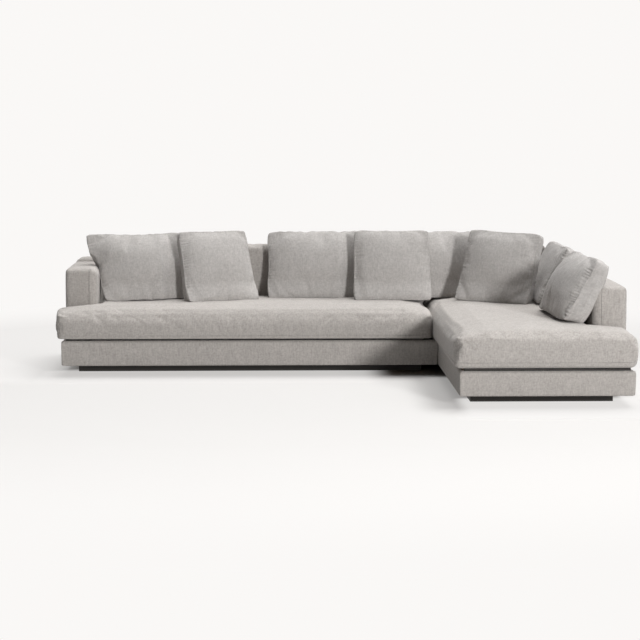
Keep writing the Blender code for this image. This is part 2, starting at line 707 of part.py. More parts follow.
def small_cushions():
    """Three scatter cushions that stand in front of the gaps between the wide ones."""
    spots = (("left_scatter_cushion", LEFT_SMALL_MIDDLE, LEFT_SMALL_OUT, SEAT_REST, LEFT_SMALL_TURN,
              LEFT_SLUMP_SHARE),
             ("middle_scatter_cushion", MIDDLE_SMALL_MIDDLE, MIDDLE_SMALL_OUT, SEAT_REST, MIDDLE_SMALL_TURN,
              0.0),
             ("corner_scatter_cushion", CORNER_SMALL_MIDDLE, CORNER_SMALL_OUT, CHAISE_CROWN,
              CORNER_SMALL_TURN, CORNER_SLUMP_SHARE))
    cushions = []
    for name, middle, out, rest, turn, slump_share in spots:
        z = rest + SMALL_GUSSET / 2 * math.sin(math.radians(turn[0])) - CUSHION_SINK
        cushions.append(LooseCushion(name, SCATTER_FABRIC, SMALL_WIDTH, SMALL_HEIGHT, SMALL_GUSSET,
                                     SMALL_FRONT_SWELL, SMALL_BACK_SWELL, (middle, PAD_FRONT - out, z),
                                     rest, turn, slump_share=slump_share,
                                     taper_share=SMALL_TAPER_SHARE if slump_share else 0.0))
    return cushions


def main():
    """Build the whole sofa."""
    empty_scene()
    sofa = bpy.data.objects.new("sofa", None)
    bpy.context.scene.collection.objects.link(sofa)
    middle_x = (SOFA_WIDTH + SEAT_RIGHT_LIP - SEAT_LEFT_LIP) / 2
    middle_y = (BENCH_DEPTH - CHAISE_REACH - CHAISE_FRONT_LIP) / 2
    sofa.location = (-middle_x, -middle_y, 0)
    add_base("bench", 0, BENCH_WIDTH, 0, BENCH_DEPTH, sofa)
    add_base("chaise", CHAISE_LEFT, SOFA_WIDTH, -CHAISE_REACH, BENCH_DEPTH, sofa)
    add_join_plates(sofa)
    add_arms(sofa)
    add_backs(sofa)
    add_seat_cushions(sofa)
    for cushion in wide_cushions() + small_cushions():
        cushion.build(sofa)


main()
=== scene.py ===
"""A corner sofa: bench and chaise modules in one woven cloth, with eight loose cushions."""
import json
import logging
import math
from collections.abc import Iterator
from contextlib import contextmanager
from dataclasses import dataclass
from enum import Enum

import bpy
import numpy as np
from mathutils import Matrix, Vector, noise
from mathutils.kdtree import KDTree

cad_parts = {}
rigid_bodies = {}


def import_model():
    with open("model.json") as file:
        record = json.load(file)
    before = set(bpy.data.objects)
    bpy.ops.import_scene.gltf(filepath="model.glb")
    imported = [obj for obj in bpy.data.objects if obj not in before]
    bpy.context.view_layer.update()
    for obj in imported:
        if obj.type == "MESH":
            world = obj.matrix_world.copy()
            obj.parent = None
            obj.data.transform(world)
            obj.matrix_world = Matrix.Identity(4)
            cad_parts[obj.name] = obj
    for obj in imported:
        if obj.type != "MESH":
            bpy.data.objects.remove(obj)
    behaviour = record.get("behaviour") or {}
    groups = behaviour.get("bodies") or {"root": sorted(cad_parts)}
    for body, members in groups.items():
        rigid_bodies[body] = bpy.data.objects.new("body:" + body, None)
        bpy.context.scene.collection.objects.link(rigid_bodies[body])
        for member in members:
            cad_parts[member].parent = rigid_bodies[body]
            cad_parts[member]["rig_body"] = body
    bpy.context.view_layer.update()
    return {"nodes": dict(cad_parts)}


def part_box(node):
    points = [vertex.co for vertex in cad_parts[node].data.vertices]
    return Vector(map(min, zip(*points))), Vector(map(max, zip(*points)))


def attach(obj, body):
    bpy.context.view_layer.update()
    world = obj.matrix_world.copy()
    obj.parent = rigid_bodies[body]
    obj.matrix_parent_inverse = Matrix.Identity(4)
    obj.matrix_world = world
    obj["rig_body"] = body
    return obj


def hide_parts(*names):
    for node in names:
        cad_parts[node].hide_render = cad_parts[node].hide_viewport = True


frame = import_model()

Thing = bpy.types.Object
Socket = bpy.types.NodeSocket
Rows = np.ndarray

LOG = logging.getLogger("corner_sofa")
THREAD_MAP = "cloth"
SEAM_MAP = "seam_nearness"
SEAM_REACH = 0.02
SETTLED = 0.0004
ARM_SEAM_CUTS = (-0.006, -0.003, 0.0, 0.003, 0.006)
ARM_SEAM_INSET = 0.05
SEAT_SEAM_CUTS = (-0.0052, -0.0026, 0.0, 0.0026, 0.0052, 0.0078)
SEATS_MEET_AT = 0.624
SEAT_HEIGHT = 0.21
EDGE_FULLNESS = 5
PRESSED_FRONT = (-1.05, -0.87)
PRESSED_DEPTHS = (0.06, 0.02)


class Follow(Enum):
    """What a pattern is laid out on."""

    PIECE = "the piece's own place"
    CLOTH = "the cloth, before it was stuffed"


class Side(Enum):
    """A side of an upright block, with the axis and the sign of its outward direction."""

    LEFT = (0, -1)
    RIGHT = (0, 1)
    FRONT = (1, -1)
    BACK = (1, 1)
    BOTTOM = (2, -1)
    TOP = (2, 1)


# Objects and meshes.


def select_only(thing: Thing) -> None:
    """Select one object and make it active.

    Args:
        thing: the object to work on next.
    """
    for other in bpy.context.view_layer.objects:
        other.select_set(False)
    thing.select_set(True)
    bpy.context.view_layer.objects.active = thing


def read_rows(source: object, name: str) -> Rows:
    """Read one vector of each item of a mesh.

    Args:
        source: the mesh's vertices or its vertex normals.
        name: the vector's name.

    Returns:
        One row of three values for each item.
    """
    values = np.zeros(len(source) * 3, np.float32)
    source.foreach_get(name, values)
    return values.reshape(-1, 3).astype(float)


def places(thing: Thing) -> Rows:
    """Read where a mesh object's vertices are, one row each."""
    return read_rows(thing.data.vertices, "co")


def outward(thing: Thing) -> Rows:
    """Read the unit vertex normals of a mesh object, one row each."""
    return read_rows(thing.data.vertex_normals, "vector")


def corners(node: str) -> tuple:
    """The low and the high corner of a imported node's box, as rows."""
    low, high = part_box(node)
    return np.array(low), np.array(high)


def set_places(thing: Thing, values: Rows) -> None:
    """Move an object's vertices.

    Args:
        thing: a mesh object.
        values: one row of three values for each vertex.
    """
    thing.data.vertices.foreach_set("co", values.astype(np.float32).ravel())
    thing.data.update()


@contextmanager
def edit_mode(thing: Thing) -> Iterator[None]:
    """Make an object active and keep it in edit mode for a while.

    Args:
        thing: the object to edit.

    Yields:
        Nothing, once the object is in edit mode.
    """
    select_only(thing)
    bpy.ops.object.mode_set(mode="EDIT")
    yield
    bpy.ops.object.mode_set(mode="OBJECT")


def cut_across(axis: int, place: float) -> None:
    """Bisect the whole mesh that is being edited.

    Args:
        axis: the axis that the cut stands across, 0 to 2.
        place: where on that axis.
    """
    point, normal = [0.0] * 3, [0.0] * 3
    point[axis], normal[axis] = place, 1.0
    bpy.ops.mesh.select_all(action="SELECT")
    bpy.ops.mesh.bisect(plane_co=point, plane_no=normal)


def apply_modifier(thing: Thing, name: str) -> None:
    """Apply one modifier of an object.

    Args:
        thing: the object that carries it.
        name: the modifier's name.
    """
    select_only(thing)
    bpy.ops.object.modifier_apply(modifier=name)


def refine(thing: Thing, levels: int = 1) -> None:
    """Round an object's mesh off with an applied subdivision surface.

    Args:
        thing: the object to refine.
        levels: how many times each face is quartered.
    """
    rounding = thing.modifiers.new("rounding", "SUBSURF")
    rounding.levels = rounding.render_levels = levels
    apply_modifier(thing, "rounding")
    select_only(thing)
    bpy.ops.object.shade_smooth()


def node_copy(node: str, name: str) -> Thing:
    """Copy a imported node's mesh into a new object and merge its loose triangles.

    Args:
        node: the node's name.
        name: the new object's name.

    Returns:
        The new object, at the origin.
    """
    made = bpy.data.objects.new(name, frame["nodes"][node].data.copy())
    made.data.name = name
    made.data.materials.clear()
    bpy.context.scene.collection.objects.link(made)
    with edit_mode(made):
        bpy.ops.mesh.select_all(action="SELECT")
        bpy.ops.mesh.remove_doubles(threshold=0.00002)
    return made


def weigh(thing: Thing, name: str, shares: Rows) -> None:
    """Make a vertex group of the vertices whose share is over 0.02.

    Args:
        thing: a mesh object.
        name: the group's name.
        shares: one share for each vertex.
    """
    group = thing.vertex_groups.new(name=name)
    for index in np.nonzero(shares > 0.02)[0]:
        group.add([int(index)], float(shares[index]), "REPLACE")


def smooth_step(values: Rows, start: float, end: float) -> Rows:
    """Rise smoothly from 0 at start to 1 at end.

    Args:
        values: where to read the rise.
        start: where it is 0.
        end: where it is 1.

    Returns:
        The rise at each value.
    """
    share = np.clip((values - start) / (end - start), 0, 1)
    return share * share * (3 - 2 * share)


def bell(values: Rows, width: float) -> Rows:
    """A bell curve of some width, 1 where the value is 0."""
    return np.exp(-((values / width) ** 2))


def unevenness(values: Rows, size: float, seed: float) -> Rows:
    """Slow, soft noise over a surface.

    Args:
        values: places on the surface.
        size: how wide one swell is, in metres.
        seed: moves the pattern, so that two pieces differ.

    Returns:
        About -1 to 1 for each place.
    """
    shift = Vector((seed, seed * 0.37, -seed * 0.61))
    return np.array([noise.noise(Vector(row) / size + shift) for row in values])


def dents(values: Rows, layers: tuple) -> Rows:
    """Add up layers of unevenness.

    Args:
        values: places on the surface.
        layers: the depth, the size and the seed of each layer.

    Returns:
        How far each place stands out, in metres.
    """
    return sum(depth * unevenness(values, size, seed) for depth, size, seed in layers)


# Finishes.


class Shader:
    """One material's nodes, added one step at a time."""

    def __init__(self, name: str, roughness: float, metallic: float = 0.0) -> None:
        """Make the material.

        Args:
            name: the material's name.
            roughness: the shader's roughness.
            metallic: the shader's metallic value.
        """
        self.material = bpy.data.materials.new(name)
        self.material.use_nodes = True
        self.tree = self.material.node_tree
        self.surface = self.tree.nodes["Principled BSDF"]
        self.surface.inputs["Roughness"].default_value = roughness
        self.surface.inputs["Metallic"].default_value = metallic

    def add(self, kind: str, **values: object) -> bpy.types.Node:
        """Add a node.

        Args:
            kind: the node's type, without its common first word.
            values: properties to set, or inputs by name where there is no such property.

        Returns:
            The new node.
        """
        made = self.tree.nodes.new("ShaderNode" + kind)
        for name, value in values.items():
            if hasattr(made, name):
                setattr(made, name, value)
            else:
                self.feed(made.inputs[name.replace("_", " ").title()], value)
        return made

    def feed(self, socket: Socket, value: object) -> None:
        """Link an output to a socket, or write a value in it.

        Args:
            socket: the input.
            value: an output socket, a number or a tuple.
        """
        if isinstance(value, Socket):
            self.tree.links.new(value, socket)
        else:
            socket.default_value = (*value, 1.0) if socket.type == "RGBA" else value

    def where(self, follow: Follow) -> Socket:
        """The vector that patterns are laid out on.

        Args:
            follow: the piece's own place, or its cloth.

        Returns:
            A vector output, in metres.
        """
        if follow is Follow.CLOTH:
            return self.add("Attribute", attribute_name=THREAD_MAP).outputs["Vector"]
        return self.add("TexCoord").outputs["Object"]

    def maths(self, operation: str, *values: object) -> Socket:
        """Work one sum.

        Args:
            operation: the Math node's operation.
            values: numbers or outputs, in the order of the node's inputs.

        Returns:
            The result's output.
        """
        made = self.add("Math", operation=operation)
        for socket, value in zip(made.inputs, values):
            self.feed(socket, value)
        return made.outputs[0]

    def cloud(self, where: Socket, scale: tuple, detail: float = 2.0) -> Socket:
        """Noise with its own scale along each axis.

        Args:
            where: the vector it is laid out on.
            scale: swells for each metre along x, y and z.
            detail: how many finer layers are added.

        Returns:
            A value of about 0.5, more or less.
        """
        spread = self.add("Mapping", vector_type="POINT")
        self.feed(spread.inputs["Vector"], where)
        spread.inputs["Scale"].default_value = scale
        made = self.add("TexNoise")
        self.feed(made.inputs["Vector"], spread.outputs[0])
        made.inputs["Scale"].default_value = 1.0
        made.inputs["Detail"].default_value = detail
        return made.outputs[0]

    def blend(self, share: object, first: object, second: object) -> Socket:
        """Mix two colours.

        Args:
            share: how much of the second shows.
            first: a colour or an output.
            second: a colour or an output.

        Returns:
            The mixed colour's output.
        """
        made = self.add("Mix", data_type="RGBA")
        self.feed(made.inputs[0], share)
        self.feed(made.inputs[6], first)
        self.feed(made.inputs[7], second)
        return made.outputs[2]

    def rise(self, value: Socket, start: float, end: float) -> Socket:
        """Rise smoothly from 0 to 1.

        Args:
            value: an output.
            start: where it is 0.
            end: where it is 1.

        Returns:
            The rise's output.
        """
        made = self.add("MapRange", interpolation_type="SMOOTHSTEP")
        self.feed(made.inputs[0], value)
        made.inputs[1].default_value, made.inputs[2].default_value = start, end
        return made.outputs[0]

    def mix_tones(self, parts: tuple, weave: Socket) -> Socket:
        """Add noises round a middle tone.

        Args:
            parts: pairs of a noise and how strongly it shows.
            weave: the crossing threads, which show a little.

        Returns:
            A share of 0 to 1, one half on the whole.
        """
        total = self.maths("MULTIPLY_ADD", weave, 0.06, 0.5 - sum(weight for _, weight in parts) / 2)
        for part, weight in parts:
            total = self.maths("MULTIPLY_ADD", part, weight, total)
        total.node.use_clamp = True
        return total

    def paint(self, colour: object) -> None:
        """Give the surface its colour, a colour or an output."""
        self.feed(self.surface.inputs["Base Color"], colour)

    def raise_by(self, height: Socket, distance: float, strength: float) -> None:
        """Add relief on top of any that is there.

        Args:
            height: an output of about 0 to 1.
            distance: how far 1 stands out, in metres.
            strength: how much of it shows.
        """
        made = self.add("Bump")
        made.inputs["Strength"].default_value = strength
        made.inputs["Distance"].default_value = distance
        self.feed(made.inputs["Height"], height)
        target = self.surface.inputs["Normal"]
        if target.is_linked:
            self.feed(made.inputs["Normal"], target.links[0].from_socket)
        self.feed(target, made.outputs[0])


@dataclass(frozen=True)
class Finish:
    """What every finish has: a name and the dark and the pale colour that it mixes."""

    name: str
    dark: tuple
    pale: tuple


@dataclass(frozen=True)
class WovenCloth(Finish):
    """Nubby upholstery cloth of pale and dark yarns, woven one over one, with painted shade in its seam
    grooves.
    """

    follow: Follow
    thread: float = 0.0014
    sheen: float = 0.2

    def material(self) -> bpy.types.Material:
        """Build the cloth's material."""
        shader = Shader(self.name, roughness=0.92)
        where = shader.where(self.follow)
        weave = self.weave(shader, where)
        nubs = shader.cloud(where, (95, 95, 95), detail=3)
        upright = shader.cloud(where, (190, 190, 26))
        level = shader.cloud(where, (34, 34, 210))
        patch = shader.cloud(where, (9, 9, 9))
        fibre = shader.cloud(where, (520, 520, 520))
        tones = ((nubs, 1.5), (upright, 1.3), (level, 0.7), (patch, 0.35), (fibre, 0.9))
        tone = shader.mix_tones(tones, weave)
        near = shader.add("Attribute", attribute_name=SEAM_MAP).outputs["Fac"]
        groove = shader.rise(near, SEAM_REACH - 0.0032, SEAM_REACH - 0.0006)
        welt = shader.rise(near, SEAM_REACH - 0.0085, SEAM_REACH - 0.0045)
        sewn = shader.maths("SUBTRACT", shader.maths("MULTIPLY", welt, 0.45), groove)
        # Painted shade: in each seam's groove the cloth is darkened toward half its dark yarn, standing in
        # for the shade in the crease.
        cloth = shader.blend(tone, self.dark, self.pale)
        painted_groove_shade = tuple(value * 0.5 for value in self.dark)
        shader.paint(shader.blend(shader.maths("MULTIPLY", groove, 0.5), cloth, painted_groove_shade))
        shader.raise_by(sewn, distance=0.003, strength=0.8)
        shader.raise_by(nubs, distance=0.0016, strength=0.5)
        shader.raise_by(weave, distance=0.0005, strength=0.5)
        shader.raise_by(fibre, distance=0.0007, strength=0.5)
        shader.surface.inputs["Sheen Weight"].default_value = self.sheen
        shader.surface.inputs["Sheen Roughness"].default_value = 0.5
        shader.surface.inputs["Specular IOR Level"].default_value = 0.25
        return shader.material

    def weave(self, shader: Shader, where: Socket) -> Socket:
        """Bumps of crossing threads on each upright or level face, wandering a little.

        Args:
            shader: the material to add to.
            where: the vector that it is laid out on.

        Returns:
            An output of about -1 to 1.
        """
        wander = shader.add("TexNoise")
        shader.feed(wander.inputs["Vector"], where)
        wander.inputs["Scale"].default_value = 90.0
        stray = shader.add("VectorMath", operation="SCALE")
        shader.feed(stray.inputs[0], wander.outputs["Color"])
        stray.inputs["Scale"].default_value = 0.0016
        moved = shader.add("VectorMath", operation="ADD")
        shader.feed(moved.inputs[0], where)
        shader.feed(moved.inputs[1], stray.outputs[0])
        parts = shader.add("SeparateXYZ")
        shader.feed(parts.inputs[0], moved.outputs[0])
        across, deep, up = (shader.maths("SINE", shader.maths("MULTIPLY", output, math.pi / self.thread))
                            for output in parts.outputs)
        total = shader.maths("MULTIPLY", across, up)
        for first, second in ((across, deep), (deep, up)):
            total = shader.maths("MULTIPLY_ADD", first, second, total)
        return total


@dataclass(frozen=True)
class Board(Finish):
    """Sawn timber, plywood or a stained board, with its grain along one axis."""

    along: tuple
    roughness: float = 0.6

    def material(self) -> bpy.types.Material:
        """Build the wood's material."""
        shader = Shader(self.name, self.roughness)
        where = shader.where(Follow.PIECE)
        grain = shader.cloud(where, self.along, detail=4)
        rings = shader.cloud(where, tuple(value * 0.2 for value in self.along))
        tone = shader.maths("MULTIPLY_ADD", rings, 0.9, -0.4)
        tone = shader.maths("MULTIPLY_ADD", grain, 0.9, tone)
        tone.node.use_clamp = True
        shader.paint(shader.blend(tone, self.dark, self.pale))
        shader.raise_by(grain, distance=0.0004, strength=0.3)
        return shader.material


@dataclass(frozen=True)
class Strapping(Finish):
    """Flat woven webbing with ribs across it and a pale thread in it."""

    def material(self) -> bpy.types.Material:
        """Build the webbing's material."""
        shader = Shader(self.name, roughness=0.8)
        where = shader.where(Follow.PIECE)
        parts = shader.add("SeparateXYZ")
        shader.feed(parts.inputs[0], where)
        ribs = shader.maths("SINE", shader.maths("MULTIPLY", parts.outputs[0], 1800))
        cross = shader.maths("SINE", shader.maths("MULTIPLY", parts.outputs[1], 1800))
        rib = shader.maths("MULTIPLY", ribs, cross)
        fleck = shader.cloud(where, (300, 300, 300))
        shader.paint(shader.blend(fleck, self.dark, self.pale))
        shader.raise_by(rib, distance=0.0004, strength=0.5)
        return shader.material


@dataclass(frozen=True)
class ZincSteel(Finish):
    """Zinc plated steel plate with soft crystals in the plating."""

    def material(self) -> bpy.types.Material:
        """Build the plating's material."""
        shader = Shader(self.name, roughness=0.35, metallic=1.0)
        where = shader.where(Follow.PIECE)
        crystals = shader.add("TexVoronoi")
        shader.feed(crystals.inputs["Vector"], where)
        crystals.inputs["Scale"].default_value = 140.0
        shader.paint(shader.blend(crystals.outputs["Distance"], self.dark, self.pale))
        shader.raise_by(shader.cloud(where, (900, 60, 60)), distance=0.0002, strength=0.2)
        return shader.material


COVER = WovenCloth("cover_cloth", (0.33, 0.306, 0.285), (0.485, 0.454, 0.427), Follow.CLOTH)
LOOSE = WovenCloth("cushion_cloth", (0.368, 0.349, 0.334), (0.502, 0.479, 0.46), Follow.CLOTH)
TIMBER_X = Board("rail_timber_across", (0.42, 0.27, 0.14), (0.68, 0.51, 0.32), (9, 220, 220))
TIMBER_Y = Board("rail_timber_deep", (0.42, 0.27, 0.14), (0.68, 0.51, 0.32), (220, 9, 220))
PLYWOOD = Board("plywood_sheet", (0.48, 0.34, 0.2), (0.7, 0.56, 0.38), (8, 90, 300), 0.7)
STAINED = Board("stained_plinth", (0.014, 0.012, 0.01), (0.032, 0.029, 0.025), (10, 160, 160), 0.55)
STRAPS = Strapping("webbing_straps", (0.03, 0.028, 0.025), (0.11, 0.1, 0.09))
# Near-black lining: its own colour on the deck cloth; on the front rail it is also painted shade for the
# slot under the seat.
DECK_LINING_AND_SLOT_SHADE = WovenCloth("deck_lining", (0.022, 0.021, 0.02), (0.05, 0.048, 0.045), Follow.PIECE, 0.0015, 0.0)
ZINC = ZincSteel("zinc_plate", (0.42, 0.42, 0.44), (0.66, 0.66, 0.67))


class Workshop:
    """Keeps the finishes, made once each, and reports each finished piece."""

    def __init__(self) -> None:
        """Start with no finish made."""
        self.made: dict = {}

    def finish(self, finish: Finish) -> bpy.types.Material:
        """Look up a finish's material, which is made the first time.

        Args:
            finish: the finish that is wanted.

        Returns:
            Its material.
        """
        if finish.name not in self.made:
            self.made[finish.name] = finish.material()
        return self.made[finish.name]

    def dress(self, node: str, finish: Finish) -> None:
        """Give a node that stays its finish.

        Args:
            node: the node's name.
            finish: its finish.
        """
        mesh = frame["nodes"][node].data
        mesh.materials.clear()
        mesh.materials.append(self.finish(finish))
        LOG.info("%s: dressed in %s", node, finish.name)

    def hand_over(self, piece: Thing, node: str, finish: Finish) -> None:
        """Finish a padded piece that stands for a node.

        Args:
            piece: the new piece.
            node: the node that it stands for.
            finish: its finish.
        """
        piece.data.materials.clear()
        piece.data.materials.append(self.finish(finish))
        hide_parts(node)
        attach(piece, frame["nodes"][node]["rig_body"])
        LOG.info("%s: %d faces, for %s", piece.name, len(piece.data.polygons), node)


# Upholstered blocks: arms, backs and base.


@dataclass
class Block:
    """Padding and cloth over boards: a box with rounded edges, soft faces and a seam down its front.

    rounds gives, for each radius, the pairs of sides whose edges it rounds. pressed is how far its
    top is pushed down at the sofa's front.
    """

    node: str
    rounds: dict
    soft: tuple = ()
    crown: float = 0.003
    seam: float | None = None
    seam_depth: float = 0.002
    seam_width: float = 0.0032
    waviness: float = 0.0011
    cell: float = 0.045
    seed: float = 0.0
    pressed: float = 0.0

    def build(self, shop: Workshop) -> None:
        """Model the block and hand it over.

        Args:
            shop: where its cloth comes from.
        """
        self.low, self.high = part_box(self.node)
        self.piece = self.box()
        self.round_edges()
        self.cut_cells()
        lay_cloth(self.piece)
        self.soften()
        refine(self.piece)
        shop.hand_over(self.piece, self.node, COVER)

    def box(self) -> Thing:
        """Add the box at its size and place.

        Returns:
            The new object, at the origin.
        """
        size = self.high - self.low
        bpy.ops.mesh.primitive_cube_add(size=1, location=(self.low + self.high) / 2)
        piece = bpy.context.object
        piece.name = piece.data.name = self.node + "_upholstery"
        piece.scale = size
        select_only(piece)
        bpy.ops.object.transform_apply(location=True, rotation=True, scale=True)
        return piece

    def on_side(self, point: Vector, side: Side) -> bool:
        """Test whether a point lies on a side of the box.

        Args:
            point: a place on the box.
            side: the side in question.

        Returns:
            Whether it lies there.
        """
        axis, sign = side.value
        limit = self.low[axis] if sign < 0 else self.high[axis]
        return abs(point[axis] - limit) < SETTLED

    def round_edges(self) -> None:
        """Bevel the chosen edges, those with the widest radius first."""
        mesh = self.piece.data
        for radius in sorted(self.rounds, reverse=True):
            for part in (*mesh.vertices, *mesh.edges, *mesh.polygons):
                part.select = False
            for edge in mesh.edges:
                ends = [mesh.vertices[index].co for index in edge.vertices]
                for pair in self.rounds[radius]:
                    if all(self.on_side(end, side) for end in ends for side in pair):
                        edge.select = True
            with edit_mode(self.piece):
                bpy.ops.mesh.select_mode(type="EDGE")
                bpy.ops.mesh.bevel(offset=radius, offset_type="OFFSET", segments=4, affect="EDGES")

    def cut_cells(self) -> None:
        """Bisect the block into cells, so that its faces can swell."""
        radius = max(self.rounds)
        with edit_mode(self.piece):
            for axis in range(3):
                low, high = self.low[axis] + radius, self.high[axis] - radius
                count = max(1, round((high - low) / self.cell))
                for step in range(count + 1):
                    cut_across(axis, low + (high - low) * step / count)
            for step in ARM_SEAM_CUTS if self.seam else ():
                cut_across(0, self.seam + step)

    def soften(self) -> None:
        """Let the soft sides swell between their edges, a little unevenly."""
        spots, facing = places(self.piece), outward(self.piece)
        low, high = np.array(self.low), np.array(self.high)
        share = np.clip((spots - low) / (high - low) * 2 - 1, -1, 1)
        wave = unevenness(spots, 0.16, self.seed)
        for side in self.soft:
            axis, sign = side.value
            toward = np.clip(facing[:, axis] * sign, 0, 1)
            others = [other for other in range(3) if other != axis]
            edge = np.prod([1 - np.abs(share[:, other]) ** 6 for other in others], axis=0)
            spots[:, axis] += sign * toward * (edge * self.crown + wave * self.waviness * toward)
        if self.pressed:
            front = 1 - smooth_step(spots[:, 1], *PRESSED_FRONT)
            top = smooth_step(spots[:, 2], *(high[2] - depth for depth in PRESSED_DEPTHS))
            spots[:, 2] -= self.pressed * front * top
        if self.seam:
            gap = np.where(facing[:, 1] < -0.7, np.abs(spots[:, 0] - self.seam), 1.0)
            lay_seam(self.piece, gap * 1.8)
            spots[:, 1] += self.seam_depth * bell(gap, self.seam_width)
        set_places(self.piece, spots)


def lay_cloth(piece: Thing, turn: Matrix | None = None) -> None:
    """Note where the cloth lies before it is stretched, so that its threads follow the piece.

    Args:
        piece: the object to mark.
        turn: the piece's own axes, if it leans.
    """
    spots = places(piece)
    if turn is not None:
        spots = spots @ np.array(turn.to_3x3())
    layer = piece.data.attributes.get(THREAD_MAP)
    if layer is None:
        layer = piece.data.attributes.new(THREAD_MAP, "FLOAT_VECTOR", "POINT")
    layer.data.foreach_set("vector", spots.astype(np.float32).ravel())


def lay_seam(piece: Thing, gap: Rows) -> None:
    """Note how near each vertex is to a seam, for the cloth's stitched groove: its relief and its painted
    shade.

    Args:
        piece: the object to mark.
        gap: each vertex's distance from a seam.
    """
    layer = piece.data.attributes.new(SEAM_MAP, "FLOAT", "POINT")
    layer.data.foreach_set("value", np.maximum(0, SEAM_REACH - gap).astype(np.float32))


# Stuffed pieces: seats, pads and cushions.


@dataclass
class SeamLine:
    """Points along the seams of a piece, each with its place along its own run."""

    points: Rows
    along: Rows
    kind: Rows

    def nearest(self, spots: Rows) -> tuple:
        """How far each spot is from a seam, and which seam point is the nearest.

        Args:
            spots: places on the piece.

        Returns:
            Distances and the indexes of seam points.
        """
        tree = KDTree(len(self.points))
        for index, point in enumerate(self.points):
            tree.insert(point, index)
        tree.balance()
        found = [tree.find(spot) for spot in spots]
        return np.array([row[2] for row in found]), np.array([row[1] for row in found])


@dataclass(frozen=True)
class Stuffing:
    """Fills a cloth case: remesh to voxels, then inflate with the seams held.

    The cloth is larger than its seams by the share loose, may come out by proud, and the filling
    takes some frames.
    """

    voxel: float
    pressure: float
    loose: float
    proud: float
    frames: int

    def remesh(self, piece: Thing) -> None:
        """Give the piece an even mesh.

        Args:
            piece: a closed mesh object.
        """
        piece.data.remesh_voxel_size = self.voxel
        piece.data.use_remesh_fix_poles = False
        select_only(piece)
        bpy.ops.object.voxel_remesh()

    def fill(self, piece: Thing, held: Rows, sunk: float, cap: float) -> None:
        """Blow the case up with its seams held.

        Args:
            piece: the remeshed piece.
            held: which vertices stay where they are.
            sunk: how far the free cloth starts inside its place.
            cap: how far any point may move.
        """
        start = places(piece) - outward(piece) * (sunk * (1 - held))[:, None]
        set_places(piece, start)
        weigh(piece, "seams", held)
        cloth = piece.modifiers.new("filling", "CLOTH")
        for name, value in {"quality": 4, "mass": 0.15, "tension_stiffness": 12,
                            "compression_stiffness": 12, "shear_stiffness": 4, "bending_stiffness": 0.25,
                            "use_pressure": True, "uniform_pressure_force": self.pressure,
                            "shrink_min": -self.loose, "vertex_group_mass": "seams"}.items():
            setattr(cloth.settings, name, value)
        cloth.settings.effector_weights.gravity = 0
        cloth.collision_settings.use_collision = False
        cloth.point_cache.frame_start, cloth.point_cache.frame_end = 1, self.frames
        facing = outward(piece)
        for step in range(1, self.frames + 1):
            bpy.context.scene.frame_set(step)
        apply_modifier(piece, "filling")
        bpy.context.scene.frame_set(1)
        moved = places(piece) - start
        length = np.linalg.norm(moved, axis=1)
        moved *= np.minimum(1, cap / np.maximum(length, 1e-9))[:, None]
        out = np.sum(moved * facing, axis=1)
        moved -= facing * np.maximum(0, out - sunk - self.proud)[:, None]
        set_places(piece, start + moved)
        piece.vertex_groups.clear()


CUSHION_FILLING = Stuffing(voxel=0.0085, pressure=3.2, loose=0.05, proud=0.006, frames=16)
SEAT_FOAM = Stuffing(voxel=0.014, pressure=1.4, loose=0.012, proud=0.002, frames=9)
BACK_FOAM = Stuffing(voxel=0.014, pressure=1.0, loose=0.01, proud=0.0015, frames=7)


@dataclass(frozen=True)
class Tug:
    """A soft pull on a cushion, strongest at one place."""

    at: tuple
    reach: float
    by: tuple
    back_only: bool = False


def keep_clear(spots: Rows, node: str, radius: float, gap: float = 0.002) -> Rows:
    """Press what reaches into a block back out of it, as a stuffed cushion dents against an arm.

    Args:
        spots: places on the cushion.
        node: the block's node.
        radius: how round the block's edges are.
        gap: how far outside the block the cloth stays.

    Returns:
        The new places.
    """
    low, high = corners(node)
    middle, half = (low + high) / 2, (high - low) / 2 - radius
    away = spots - middle
    beyond = np.abs(away) - half
    outer = np.maximum(beyond, 0)
    length = np.linalg.norm(outer, axis=1)
    depth = length + np.minimum(beyond.max(axis=1), 0) - radius
    flat = np.zeros_like(spots)
    flat[np.arange(len(spots)), beyond.argmax(axis=1)] = 1
    toward = np.where(length[:, None] > 1e-6, outer / np.maximum(length, 1e-6)[:, None], flat)
    return spots + toward * np.sign(away) * np.maximum(0, gap - depth)[:, None]


